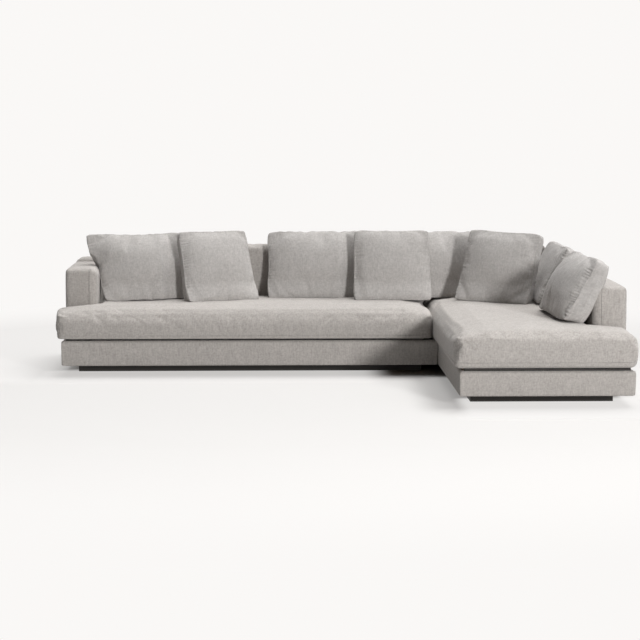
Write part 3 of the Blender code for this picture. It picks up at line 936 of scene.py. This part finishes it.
@dataclass
class LooseCushion:
    """A boxed cushion that leans: two faces, a gusset all round, and gathers along its seams.

    spread widens it at its low left, top left, low right and top right. left_line gives the x of
    its left side at some heights. tuck is how wide a part of its right end leans back, and how far.
    """

    node: str
    seed: float
    gathered: Side = Side.LEFT
    fill: float = 0.55
    spread: tuple = (0.0, 0.0, 0.0, 0.0)
    left_line: tuple | None = None
    tugs: tuple = ()
    blocks: tuple = ()
    sag: float = 0.018
    slump: float = 0.045
    tuck: tuple = (0.0, 0.0)
    gather: float = 0.005
    pitch: float = 0.0165
    seam_depth: float = 0.003
    seam_width: float = 0.0055

    def build(self, shop: Workshop) -> None:
        """Model the cushion and hand it over.

        Args:
            shop: where its cloth comes from.
        """
        self.case = piece = node_copy(self.node, self.node + "_case")
        self.floor = float(places(piece)[:, 2].min())
        self.own_axes()
        seams = self.find_seams()
        CUSHION_FILLING.remesh(piece)
        if self.left_line:
            edge = self.left_edge(places(piece))
            set_places(piece, self.straighten(places(piece), edge))
            seams.points = self.straighten(seams.points, edge)
        lay_cloth(piece, self.axes)
        gap, _ = seams.nearest(places(piece))
        self.ease(smooth_step(gap, 0.004, 0.02), times=90)
        spots = places(piece)
        held = np.where((gap < 0.006) | (spots[:, 2] < self.floor + 0.001), 1.0, 0.0)
        CUSHION_FILLING.fill(piece, held, sunk=0.006, cap=0.028)
        self.ease(np.clip(1 - gap / 0.03, 0, 1), times=6)
        self.ease(smooth_step(gap, 0.006, 0.03), times=12)
        self.ease(self.near_corners(places(piece)), times=20)
        refine(piece)
        self.sew(seams)
        set_places(piece, self.pull(places(piece)))
        shop.hand_over(piece, self.node, LOOSE)

    def ease(self, share: Rows, times: int) -> None:
        """Even the case out.

        Args:
            share: how far each vertex takes part.
            times: how often it is done.
        """
        weigh(self.case, "eased", share)
        easing = self.case.modifiers.new("easing", "SMOOTH")
        easing.factor, easing.iterations, easing.vertex_group = 0.5, times, "eased"
        apply_modifier(self.case, "easing")
        self.case.vertex_groups.clear()

    def near_corners(self, spots: Rows) -> Rows:
        """Find the case's four corners, which are blunted.

        Args:
            spots: places on the case.

        Returns:
            A share for each place, 1 at a corner.
        """
        own = self.own_places(spots)[:, (0, 2)]
        size = np.abs(own).max(axis=0)
        share = np.zeros(len(own))
        for toward in ((-1, -1), (-1, 1), (1, -1), (1, 1)):
            tip = own[np.argmax(own @ (np.array(toward) / size))]
            share = np.maximum(share, 1 - smooth_step(np.linalg.norm(own - tip, axis=1), 0.025, 0.08))
        return share

    def own_places(self, spots: Rows) -> Rows:
        """Places on the cushion's own axes: across, through and up its face."""
        return (spots - np.array(self.middle)) @ np.array(self.axes)

    def left_edge(self, spots: Rows) -> Rows:
        """Read how far left the case reaches at each height.

        Args:
            spots: places on the case.

        Returns:
            The least x in each centimetre of height.
        """
        band = ((spots[:, 2] - self.floor) / 0.01).astype(int)
        return np.array([spots[band == step, 0].min() for step in range(band.max() + 1)])

    def straighten(self, spots: Rows, edge: Rows) -> Rows:
        """Move the left side to one line, from its bottom corner to its top corner.

        Args:
            spots: places on the case or on its seams.
            edge: how far left it reaches at each height.

        Returns:
            The new places.
        """
        heights = self.floor + 0.005 + 0.01 * np.arange(len(edge))
        now = np.interp(spots[:, 2], heights, edge)
        wanted = np.interp(spots[:, 2], *zip(*self.left_line))
        moved = spots.copy()
        moved[:, 0] += (wanted - now) * (1 - smooth_step(spots[:, 0] - now, 0.02, 0.28))
        return moved

    def pull(self, spots: Rows) -> Rows:
        """Widen, pull and settle the cushion, and dent it where it meets a block.

        Args:
            spots: places on the cushion.

        Returns:
            The new places.
        """
        turn, own = np.array(self.axes), self.own_places(spots)
        across = own[:, 0] / np.abs(own[:, 0]).max()
        up = np.clip(own[:, 2] / np.abs(own[:, 2]).max() / 2 + 0.5, 0, 1)
        low_left, top_left, low_right, top_right = self.spread
        left = -(low_left + (top_left - low_left) * up) * np.clip(-across, 0, 1) ** 1.5
        right = (low_right + (top_right - low_right) * up) * np.clip(across, 0, 1) ** 1.5
        spots = spots + np.outer(left + right, turn[:, 0])
        width, depth = self.tuck
        if depth:
            end = own[:, 0].max()
            tucked = depth * smooth_step(own[:, 0], end - width, end - width + 0.06)
            spots += np.outer(tucked, (turn[0, 1], turn[1, 1], 0))
        for tug in self.tugs:
            share = np.clip(np.linalg.norm(spots - np.array(tug.at), axis=1) / tug.reach, 0, 1)
            weight = (1 - share) ** 2 * (1 + 2 * share)
            if tug.back_only:
                weight *= smooth_step(own[:, 1], -0.03, 0.02)
            spots += np.outer(weight, tug.by)
        low = 1 - smooth_step(spots[:, 2], self.floor + 0.02, self.floor + 0.12)
        front = 1 - smooth_step(own[:, 1], -0.03, 0.03)
        spots -= np.outer(self.slump * low * front, (turn[0, 1], turn[1, 1], 0))
        spots[:, 2] -= self.sag * low
        for node, radius in self.blocks:
            spots = keep_clear(spots, node, radius)
        spots[:, 2] = np.maximum(spots[:, 2], self.floor)
        return spots

    def own_axes(self) -> None:
        """Find which way the cushion lies: across, through and up its face."""
        spots = places(self.case)
        self.middle = Vector(spots.mean(axis=0))
        _, vectors = np.linalg.eigh(np.cov((spots - spots.mean(axis=0)).T))
        through = Vector(vectors[:, 0])
        if through.z > 0:
            through.negate()
        across = Vector((0, 0, 1)).cross(through).normalized()
        if self.node.endswith("arm_cushion"):
            across = across if across.y < 0 else -across
        elif across.x < 0:
            across.negate()
        self.axes = Matrix((across, through, through.cross(across))).transposed()
        if self.axes.col[2].z < 0:
            self.axes = Matrix((across, through, across.cross(through))).transposed()

    def find_seams(self) -> SeamLine:
        """Walk the sharp edges between the faces and the gusset, before the case is remeshed.

        Returns:
            Points every few millimetres along them.
        """
        mesh = self.case.data
        normals: dict = {}
        for face in mesh.polygons:
            for key in face.edge_keys:
                normals.setdefault(key, []).append(face.normal)
        turn = self.axes.transposed()
        points, along, kind = [], [], []
        for (first, second), pair in normals.items():
            a, b = mesh.vertices[first].co, mesh.vertices[second].co
            if len(pair) != 2 or pair[0].angle(pair[1], 0) < 0.6 or max(a.z, b.z) < self.floor + 0.004:
                continue
            run = (turn @ (b - a)).normalized()
            level = abs(run.x) > abs(run.z)
            if abs(run.y) > 0.9:
                continue
            centre = turn @ ((a + b) / 2 - self.middle)
            side = (Side.TOP if centre.z > 0 else Side.BOTTOM) if level else (
                Side.RIGHT if centre.x > 0 else Side.LEFT)
            steps = max(2, int((b - a).length / 0.003))
            for step in range(steps):
                point = a.lerp(b, step / steps)
                points.append(point)
                own = turn @ (point - self.middle)
                along.append(own.x if level else own.z)
                kind.append(side.name)
        return SeamLine(np.array(points), np.array(along), np.array(kind))

    def sew(self, seams: SeamLine) -> None:
        """Sink the seams, gather the cloth along them and let the faces dent softly.

        Args:
            seams: the case's seam points.
        """
        spots, facing = places(self.case), outward(self.case)
        gap, nearest = seams.nearest(spots)
        along, kind = seams.along[nearest], seams.kind[nearest]
        bottom = kind == Side.BOTTOM.name
        strength = np.select([kind == self.gathered.name, bottom], [1.0, 0.75], 0.45)
        drift = 1.7 * np.sin(along * 31 + self.seed) + 1.1 * np.sin(along * 83 + self.seed * 2.3)
        fold = 0.5 - 0.5 * np.cos(along * math.tau / self.pitch + drift)
        uneven = 0.65 + 0.35 * np.sin(along * 47 + self.seed * 3.1)
        length = 0.02 + 0.026 * (0.5 + 0.5 * np.sin(along * 121 + self.seed * 5)) * strength
        length *= np.where(bottom, 0.5, 1.0)
        reach = np.exp(-((gap / length) ** 1.5)) * smooth_step(gap, 0.0, 0.008)
        front = smooth_step(-facing @ np.array(self.axes.col[1]), 0.05, 0.45)
        depth = self.gather * strength * uneven * fold * reach * front
        seam = self.seam_depth * bell(gap, self.seam_width)
        lay_seam(self.case, gap)
        dent = dents(spots, ((0.0018, 0.07, self.seed), (0.0034, 0.2, self.seed + 9)))
        calm = smooth_step(gap, 0.01, 0.05) * (0.3 + 0.7 * front)
        set_places(self.case, spots - facing * (depth + seam - dent * calm)[:, None])


@dataclass
class SeatCushion:
    """A thick foam seat with a wing round the arm, sewn near its bottom and at its front corners."""

    node: str
    corner: tuple
    seed: float
    seam_height: float = 0.031
    seam_depth: float = 0.0014
    seam_width: float = 0.0024
    roll: float = 0.013
    lift: float = 0.011
    end_bulge: float = 0.01
    free_end: Side = Side.LEFT

    def build(self, shop: Workshop) -> None:
        """Model the seat and its seams, and hand it over.

        Args:
            shop: where its cloth comes from.
        """
        self.case = piece = node_copy(self.node, self.node + "_case")
        self.low, self.high = low, high = corners(self.node)
        SEAT_FOAM.remesh(piece)
        lay_cloth(piece)
        spots = places(piece)
        below = spots[:, 2] < low[2] + self.seam_height + 0.003
        held = np.where(below | (spots[:, 1] > high[1] - 0.02), 1.0, 0.0)
        SEAT_FOAM.fill(piece, held, sunk=0.003, cap=0.012)
        refine(piece)
        self.mark_seam()
        self.shape()
        shop.hand_over(piece, self.node, COVER)

    def mark_seam(self) -> None:
        """Bisect the case at the seam and close beside it, so that the seam is crisp."""
        with edit_mode(self.case):
            for step in SEAT_SEAM_CUTS:
                cut_across(2, self.low[2] + self.seam_height + step)

    def shape(self) -> None:
        """Sink the seams, roll the bottom edge in and square the ends."""
        start, facing = places(self.case), outward(self.case)
        level = np.hypot(facing[:, 0], facing[:, 1])
        spots = start + facing * self.sew(start, facing, level)[:, None]
        self.roll_in(spots, start, facing, level)
        self.square_ends(spots, start)
        set_places(self.case, spots)

    def sew(self, start: Rows, facing: Rows, level: Rows) -> Rows:
        """Work out the seams, the puckers at the front corner and the soft dents, and mark the seams.

        Args:
            start: places on the filled case.
            facing: which way the case faces there.
            level: how level that is, 1 on an upright face.

        Returns:
            How far each place moves outward.
        """
        rise = start[:, 2] - self.low[2]
        gap = rise - self.seam_height
        welt = self.seam_depth / 2 * bell(gap - 0.0052, 0.0028)
        seam = (self.seam_depth * bell(gap, self.seam_width) - welt) * level
        across, back = start[:, 0] - self.corner[0], start[:, 1] - self.corner[1]
        off = np.where(across + back < 0.16, np.abs(across - back) / math.sqrt(2), 1.0)
        band = smooth_step(rise, 0.02, 0.06) * (1 - smooth_step(rise, 0.15, 0.2))
        run = 0.5 + 0.5 * np.sin(start[:, 2] * math.tau / 0.017 + 1.4 * np.sin(start[:, 2] * 60))
        puckers = 0.005 * run * bell(off, 0.03)
        corner = (0.004 * bell(off, 0.006) + puckers) * band
        dent = dents(start, ((0.0022, 0.17, self.seed), (0.0035, 0.5, self.seed + 4)))
        top = smooth_step(facing[:, 2], 0.3, 0.9)
        bottom_gap = np.where(level > 0.5, np.abs(gap) * 2.5 + 0.0008, 1)
        lay_seam(self.case, np.minimum(bottom_gap, np.where(band > 0.3, off, 1)))
        dent = (dent * (0.45 + 0.55 * top)) * smooth_step(rise, 0.02, 0.06)
        return dent - seam - corner

    def roll_in(self, spots: Rows, start: Rows, facing: Rows, level: Rows) -> None:
        """Roll the bottom edge in, lift its rim and let the free end swell.

        Args:
            spots: places on the sewn case, changed in place.
            start: the same before it was sewn.
            facing: which way the case faces there.
            level: how level that is, 1 on an upright face.
        """
        low, high = self.low, self.high
        rise = start[:, 2] - low[2]
        rolled = np.clip(1 - rise / self.roll, 0, 1)
        inset = self.roll * (1 - np.sqrt(np.clip(1 - rolled ** 2, 0, 1))) * smooth_step(level, 0.05, 0.5)
        arch = np.sin(np.clip(rise / SEAT_HEIGHT, 0, 1) * math.pi) ** 0.25
        bulge = self.end_bulge * np.abs(facing[:, 0]) ** 3 * arch
        bulge = bulge * (1 - smooth_step(spots[:, 1], 0.3, 0.4))
        inner = np.abs(spots[:, 0] - SEATS_MEET_AT) < 0.1
        sideways = (np.where(inner, 0, bulge) - inset) / np.maximum(level, 1e-6)
        rim = np.minimum.reduce([spots[:, 0] - low[0], high[0] - spots[:, 0], spots[:, 1] - low[1]])
        raised = self.lift * (1 - smooth_step(rim, 0.03, 0.07)) * (1 - smooth_step(rise, 0.0, self.roll))
        spots[:, :2] += facing[:, :2] * sideways[:, None]
        spots[:, 2] = np.maximum(spots[:, 2], low[2]) + raised

    def square_ends(self, spots: Rows, start: Rows) -> None:
        """Fill out the outer corners, which turn more sharply than the case does.

        Args:
            spots: places on the case, changed in place.
            start: the same before it was sewn.
        """
        low, high = self.low, self.high
        rise = start[:, 2] - low[2]
        upright = smooth_step(rise, 0.01, 0.04) * (1 - smooth_step(rise, 0.13, 0.19))
        if self.free_end is Side.LEFT:
            front = 0.8 * (1 - smooth_step(start[:, 1] - self.corner[1], 0.26, 0.3))
            square_edge(spots, (0, low[0] - self.end_bulge, 1), (2, low[2] + 0.175, -1),
                        radius=0.08, share=front)
        else:
            square_edge(spots, (0, high[0], -1), (1, low[1], 1), radius=0.05, share=upright)
        square_edge(spots, (0, low[0], 1), (1, low[1], 1), radius=0.05, share=upright)


def square_edge(spots: Rows, first: tuple, second: tuple, radius: float, share: Rows) -> None:
    """Fill out a rounded edge between two faces, so that it turns more sharply.

    Args:
        spots: places on the piece, changed in place.
        first: the axis and place of one face, and the sign of the way inward.
        second: the same of the other face.
        radius: how far from the faces the edge is filled out.
        share: how much of it each place takes.
    """
    (one, at_one, in_one), (two, at_two, in_two) = first, second
    across = (at_one - spots[:, one]) * in_one + radius
    along = (at_two - spots[:, two]) * in_two + radius
    near = (across > 0.001) & (along > 0.001) & (share > 0)
    across, along = across[near], along[near]
    reach = np.hypot(across, along)
    corner = (across / reach) ** EDGE_FULLNESS + (along / reach) ** EDGE_FULLNESS
    grown = corner ** (-1 / EDGE_FULLNESS)
    for axis, inward, now in ((one, in_one, across), (two, in_two, along)):
        wanted = np.minimum(now * grown, np.maximum(now, radius))
        spots[near, axis] -= inward * (wanted - now) * share[near]


@dataclass
class BackPad:
    """A tall foam pad in front of a back frame, soft along its top."""

    node: str
    seed: float
    firm: float = 0.2

    def build(self, shop: Workshop) -> None:
        """Model the pad and hand it over.

        Args:
            shop: where its cloth comes from.
        """
        piece = node_copy(self.node, self.node + "_case")
        low, high = corners(self.node)
        BACK_FOAM.remesh(piece)
        lay_cloth(piece)
        spots = places(piece)
        held = np.where((spots[:, 2] < low[2] + self.firm) | (spots[:, 1] > high[1] - 0.002), 1.0, 0.0)
        BACK_FOAM.fill(piece, held, sunk=0.002, cap=0.008)
        refine(piece)
        spots, facing = places(piece), outward(piece)
        free = smooth_step(spots[:, 2], low[2] + self.firm - 0.02, low[2] + self.firm + 0.06)
        wave = dents(spots, ((0.002, 0.12, self.seed), (0.003, 0.4, self.seed + 3)))
        spots += facing * (wave * free - 0.001 * free)[:, None]
        set_places(piece, spots)
        shop.hand_over(piece, self.node, COVER)


# Sub-assemblies.


@dataclass
class Module:
    """One module's base: plinth, boards, rails, webbing, lining and four upholstered borders."""

    name: str
    pressed: float = 0.0
    top_radius: float = 0.02
    corner_radius: float = 0.011

    def build(self, shop: Workshop) -> None:
        """Dress the module's inside and build its borders.

        Args:
            shop: where finishes come from.
        """
        for side in ("front", "back", "left", "right"):
            shop.dress(f"{self.name}_plinth_{side}", STAINED)
        # The deck's near-black lining is stapled over the front rail, which the slot under the seat shows;
        # on the rail it is also painted shade that keeps the slot dark.
        for part, finish in (("front_rail", DECK_LINING_AND_SLOT_SHADE), ("back_rail", TIMBER_X), ("left_rail", TIMBER_Y),
                             ("right_rail", TIMBER_Y), ("cross_rail", TIMBER_Y), ("bottom_board", PLYWOOD),
                             ("webbing", STRAPS), ("deck_cloth", DECK_LINING_AND_SLOT_SHADE)):
            shop.dress(f"{self.name}_{part}", finish)
        for side, seed in ((Side.FRONT, 2.0), (Side.BACK, 3.0), (Side.LEFT, 5.0), (Side.RIGHT, 6.0)):
            rounds = {self.top_radius: ((side, Side.TOP),)}
            if side in (Side.FRONT, Side.BACK):
                rounds[self.corner_radius] = ((side, Side.LEFT), (side, Side.RIGHT))
            Block(f"{self.name}_{side.name.lower()}_border", rounds, (side,),
                  crown=0.0 if self.meets(side) else 0.002, seed=seed, pressed=self.pressed).build(shop)

    def meets(self, side: Side) -> bool:
        """Whether the other module stands against a side."""
        return (self.name, side) in (("bench", Side.RIGHT), ("chaise", Side.LEFT))


@dataclass
class ArmsAndBacks:
    """The two arms, the two backs, their frames, and the pads in front of the backs."""

    inner_radius: float = 0.042
    outer_radius: float = 0.024
    back_radius: float = 0.042

    def build(self, shop: Workshop) -> None:
        """Build the arms and backs.

        Args:
            shop: where finishes come from.
        """
        for node, finish in (("left_arm_frame", TIMBER_Y), ("right_arm_frame", TIMBER_Y),
                             ("bench_back_frame", TIMBER_X), ("chaise_back_frame", TIMBER_X)):
            shop.dress(node, finish)
        for node, outer, inner, seed in (("left_arm_cover", Side.LEFT, Side.RIGHT, 11.0),
                                         ("right_arm_cover", Side.RIGHT, Side.LEFT, 12.0)):
            rounds = {self.inner_radius: ((inner, Side.TOP), (Side.FRONT, inner)),
                      self.outer_radius: ((outer, Side.TOP), (Side.FRONT, outer), (Side.FRONT, Side.TOP))}
            low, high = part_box(node)
            seam = high.x - ARM_SEAM_INSET if inner is Side.RIGHT else low.x + ARM_SEAM_INSET
            soft = (outer, Side.TOP, Side.FRONT)
            Block(node, rounds, soft, seam=seam, crown=0.004, seed=seed).build(shop)
        for node, end, seed in (("bench_back_cover", Side.LEFT, 15.0),
                                ("chaise_back_cover", Side.RIGHT, 16.0)):
            rounds = {self.back_radius: ((Side.FRONT, Side.TOP), (Side.BACK, Side.TOP), (end, Side.TOP),
                                         (Side.BACK, end))}
            Block(node, rounds, (Side.BACK, Side.TOP, end), crown=0.004, seed=seed).build(shop)
        for seed, node in enumerate(("bench_back_pad", "chaise_back_pad")):
            BackPad(node, seed + 21.0).build(shop)


@dataclass
class Cushions:
    """The two seats and the eight loose cushions."""

    def build(self, shop: Workshop) -> None:
        """Build them all.

        Args:
            shop: where finishes come from.
        """
        for node, seed, lift, end in (("bench_seat_cushion", 31.0, 0.014, Side.LEFT),
                                      ("chaise_seat_cushion", 37.0, 0.001, Side.RIGHT)):
            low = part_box(node)[0]
            SeatCushion(node, (low.x, low.y), seed, lift=lift, free_end=end).build(shop)
        left_arm, right_arm = (((f"{side}_arm_cover", ArmsAndBacks.inner_radius),)
                               for side in ("left", "right"))
        leaning = ((0.4, -1.352), (0.5, -1.376), (0.56, -1.393), (0.61, -1.412),
                   (0.64, -1.435), (0.7, -1.455), (0.76, -1.472), (0.82, -1.476))
        bulge = (Tug((1.3, -0.87, 0.44), 0.17, (0.042, -0.012, 0), True),
                 Tug((1.38, -0.87, 0.57), 0.17, (0.042, -0.02, 0), True),
                 Tug((1.45, -0.87, 0.68), 0.12, (0.02, -0.012, 0), True))
        for cushion in (
                LooseCushion("left_wide_cushion", 41.0, left_line=leaning, blocks=left_arm,
                             tuck=(0.24, 0.06)),
                LooseCushion("middle_wide_cushion", 43.7, tuck=(0.25, 0.045)),
                LooseCushion("corner_wide_cushion", 46.4),
                LooseCushion("far_arm_cushion", 49.1, Side.RIGHT, blocks=right_arm, slump=0.02),
                LooseCushion("near_arm_cushion", 51.8, Side.RIGHT, tugs=bulge, blocks=right_arm,
                             slump=0.02),
                LooseCushion("left_scatter_cushion", 61.0, fill=0.6),
                LooseCushion("middle_scatter_cushion", 64.3, fill=0.6,
                             spread=(0.006, 0.0, 0.024, 0.014)),
                LooseCushion("corner_scatter_cushion", 67.6, fill=0.6,
                             spread=(0.014, 0.024, 0.008, 0.026))):
            cushion.build(shop)


# Studio.


def backdrop_share(tree: bpy.types.NodeTree) -> Socket:
    """Tell the rays that show the plain backdrop, those of the camera and of gloss and glass.

    Args:
        tree: the nodes of the floor's material or of the world.

    Returns:
        An output that is 1 for those rays.
    """
    rays = tree.nodes.new("ShaderNodeLightPath")
    seen = rays.outputs["Is Camera Ray"]
    for name in ("Is Glossy Ray", "Is Transmission Ray"):
        either = tree.nodes.new("ShaderNodeMath")
        either.operation = "MAXIMUM"
        tree.links.new(seen, either.inputs[0])
        tree.links.new(rays.outputs[name], either.inputs[1])
        seen = either.outputs[0]
    return seen


def mix_shaders(tree: bpy.types.NodeTree, share: Socket, parts: tuple, target: str) -> None:
    """Mix two shaders and send the result out.

    Args:
        tree: the nodes of a material or of the world.
        share: how much of the second shows.
        parts: the two shaders' outputs.
        target: the name of the node that takes the result.
    """
    both = tree.nodes.new("ShaderNodeMixShader")
    for socket, value in zip(both.inputs, (share, *parts)):
        tree.links.new(value, socket)
    tree.links.new(both.outputs[0], tree.nodes[target].inputs["Surface"])


@dataclass
class Studio:
    """A pale floor that keeps the shadow outside patches of painted light, a soft key from the front
    right, and light from above.

    The patches of painted light list the places where the photograph's floor is paler than its shadow;
    there the backdrop's glow is painted over the floor's shadow. Each gives left, right, front, back, how
    soft the edge is, and the backdrop's share there.
    """

    backdrop: tuple = (0.955, 0.939, 0.924)
    floor_colour: tuple = (0.58, 0.57, 0.56)
    floor_bounce: tuple = (0.42, 0.415, 0.41)
    painted_light_patches: tuple = ((-1.85, 0.4, -0.25, 0.5, 0.2, 0.55), (0.58, 1.75, -1.55, -0.7, 0.14, 0.72),
                     (0.5, 0.9, -1.3, 0.1, 0.14, 0.3), (-6.0, -1.4, -0.3, 4.0, 0.3, 0.45))
    fade: tuple = (2.2, 4.6)
    sky_level: float = 0.09
    eye: tuple = (-0.351, -10.6652, 1.5365)
    focal_pixels: float = 1841.35
    frame_pixels: float = 640.0
    yaw: float = 0.0284
    pitch: float = 0.1115
    roll: float = 0.0006

    def build(self) -> None:
        """Set up the floor, the world, the lamps and the camera."""
        self.lay_floor()
        self.light_world()
        self.hang_lamps()
        self.place_camera()

    def lay_floor(self) -> None:
        """Lay a wide floor that turns into the plain backdrop away from the sofa, and paint light over its
        shadow in the listed patches.
        """
        bpy.ops.mesh.primitive_plane_add(size=90, location=(0, 0, 0))
        floor = bpy.context.object
        floor.name = "studio_floor"
        shader = Shader("studio_floor", roughness=1.0)
        seen = backdrop_share(shader.tree)
        shader.paint(shader.blend(seen, self.floor_bounce, self.floor_colour))
        shader.surface.inputs["Specular IOR Level"].default_value = 0.0
        glow = shader.add("Emission")
        shader.feed(glow.inputs["Color"], self.backdrop)
        where = shader.where(Follow.PIECE)
        far = shader.add("VectorMath", operation="LENGTH")
        shader.feed(far.inputs[0], where)
        fade = shader.rise(far.outputs["Value"], *self.fade)
        parts = shader.add("SeparateXYZ")
        shader.feed(parts.inputs[0], where)
        # Painted light: in each patch the camera sees the backdrop's glow mixed into the floor, paling the
        # sofa's shadow there.
        for left, right, front, back, soft, share in self.painted_light_patches:
            inside = share
            for output, start, end in ((parts.outputs[0], left, right), (parts.outputs[1], front, back)):
                inside = shader.maths("MULTIPLY", inside, shader.rise(output, start, start + soft))
                past = shader.rise(output, end - soft, end)
                inside = shader.maths("MULTIPLY", inside, shader.maths("SUBTRACT", 1.0, past))
            fade = shader.maths("MAXIMUM", fade, inside)
        share = shader.maths("MULTIPLY", fade, seen)
        mix_shaders(shader.tree, share, (shader.surface.outputs[0], glow.outputs[0]), "Material Output")
        floor.data.materials.append(shader.material)

    def light_world(self) -> None:
        """Show the backdrop to the camera and in reflections, and light with a dimmer sky."""
        world = bpy.data.worlds.new("studio")
        bpy.context.scene.world = world
        world.use_nodes = True
        tree = world.node_tree
        sky = tree.nodes["Background"]
        sky.inputs["Color"].default_value = (1.0, 0.99, 0.98, 1)
        sky.inputs["Strength"].default_value = self.sky_level
        plain = tree.nodes.new("ShaderNodeBackground")
        plain.inputs["Color"].default_value = (*self.backdrop, 1)
        mix_shaders(tree, backdrop_share(tree), (sky.outputs[0], plain.outputs[0]), "World Output")

    def hang_lamps(self) -> None:
        """Hang a soft lamp low at the front right, and softer ones above and on the right."""
        key = bpy.data.lights.new("key_lamp", "AREA")
        key.shape, key.size, key.energy = "DISK", 1.2, 850
        self.hang(key, Vector((4.24, -10.4, 2.7)), Vector((0.3, -0.2, 0.35)))
        for name, place, spread, level in (("overhead_lamp", (0.6, 0.85, 3), 46, 4.0),
                                           ("right_lamp", (2.3, -0.8, 2.9), 50, 0.3)):
            lamp = bpy.data.lights.new(name, "SUN")
            lamp.angle, lamp.energy = math.radians(spread), level
            self.hang(lamp, Vector(place), Vector((0, 0, 0)))

    def hang(self, lamp: bpy.types.Light, place: Vector, target: Vector) -> None:
        """Hang a lamp so that it looks at a point.

        Args:
            lamp: the lamp's data.
            place: where it hangs.
            target: what it looks at.
        """
        holder = bpy.data.objects.new(lamp.name, lamp)
        bpy.context.scene.collection.objects.link(holder)
        holder.location = place
        holder.rotation_mode = "QUATERNION"
        holder.rotation_quaternion = (target - place).to_track_quat("-Z", "Y")

    def place_camera(self) -> None:
        """Put the camera where the photograph was taken from."""
        lens = bpy.data.cameras.new("camera")
        lens.sensor_width = 36.0
        lens.lens = self.focal_pixels / self.frame_pixels * lens.sensor_width
        lens.clip_end = 200
        camera = bpy.data.objects.new("camera", lens)
        bpy.context.scene.collection.objects.link(camera)
        ahead = Vector((math.sin(self.yaw) * math.cos(self.pitch),
                        math.cos(self.yaw) * math.cos(self.pitch), -math.sin(self.pitch)))
        right = Vector((math.cos(self.yaw), -math.sin(self.yaw), 0))
        up = right.cross(ahead)
        turned = right * math.cos(self.roll) + up * math.sin(self.roll)
        upright = up * math.cos(self.roll) - right * math.sin(self.roll)
        axes = Matrix((turned, upright, -ahead)).transposed()
        camera.matrix_world = Matrix.Translation(self.eye) @ axes.to_4x4()
        bpy.context.scene.camera = camera


def main() -> None:
    """Build the sofa, sub-assembly by sub-assembly, and the studio round it."""
    logging.basicConfig(level=logging.INFO, format="%(relativeCreated)7d ms  %(message)s")
    bpy.context.scene.view_settings.view_transform = "Standard"
    shop = Workshop()
    Module("bench").build(shop)
    Module("chaise", pressed=0.015).build(shop)
    for node in ("join_plate_front", "join_plate_back"):
        shop.dress(node, ZINC)
    ArmsAndBacks().build(shop)
    Cushions().build(shop)
    Studio().build()


if __name__ == "__main__":
    main()
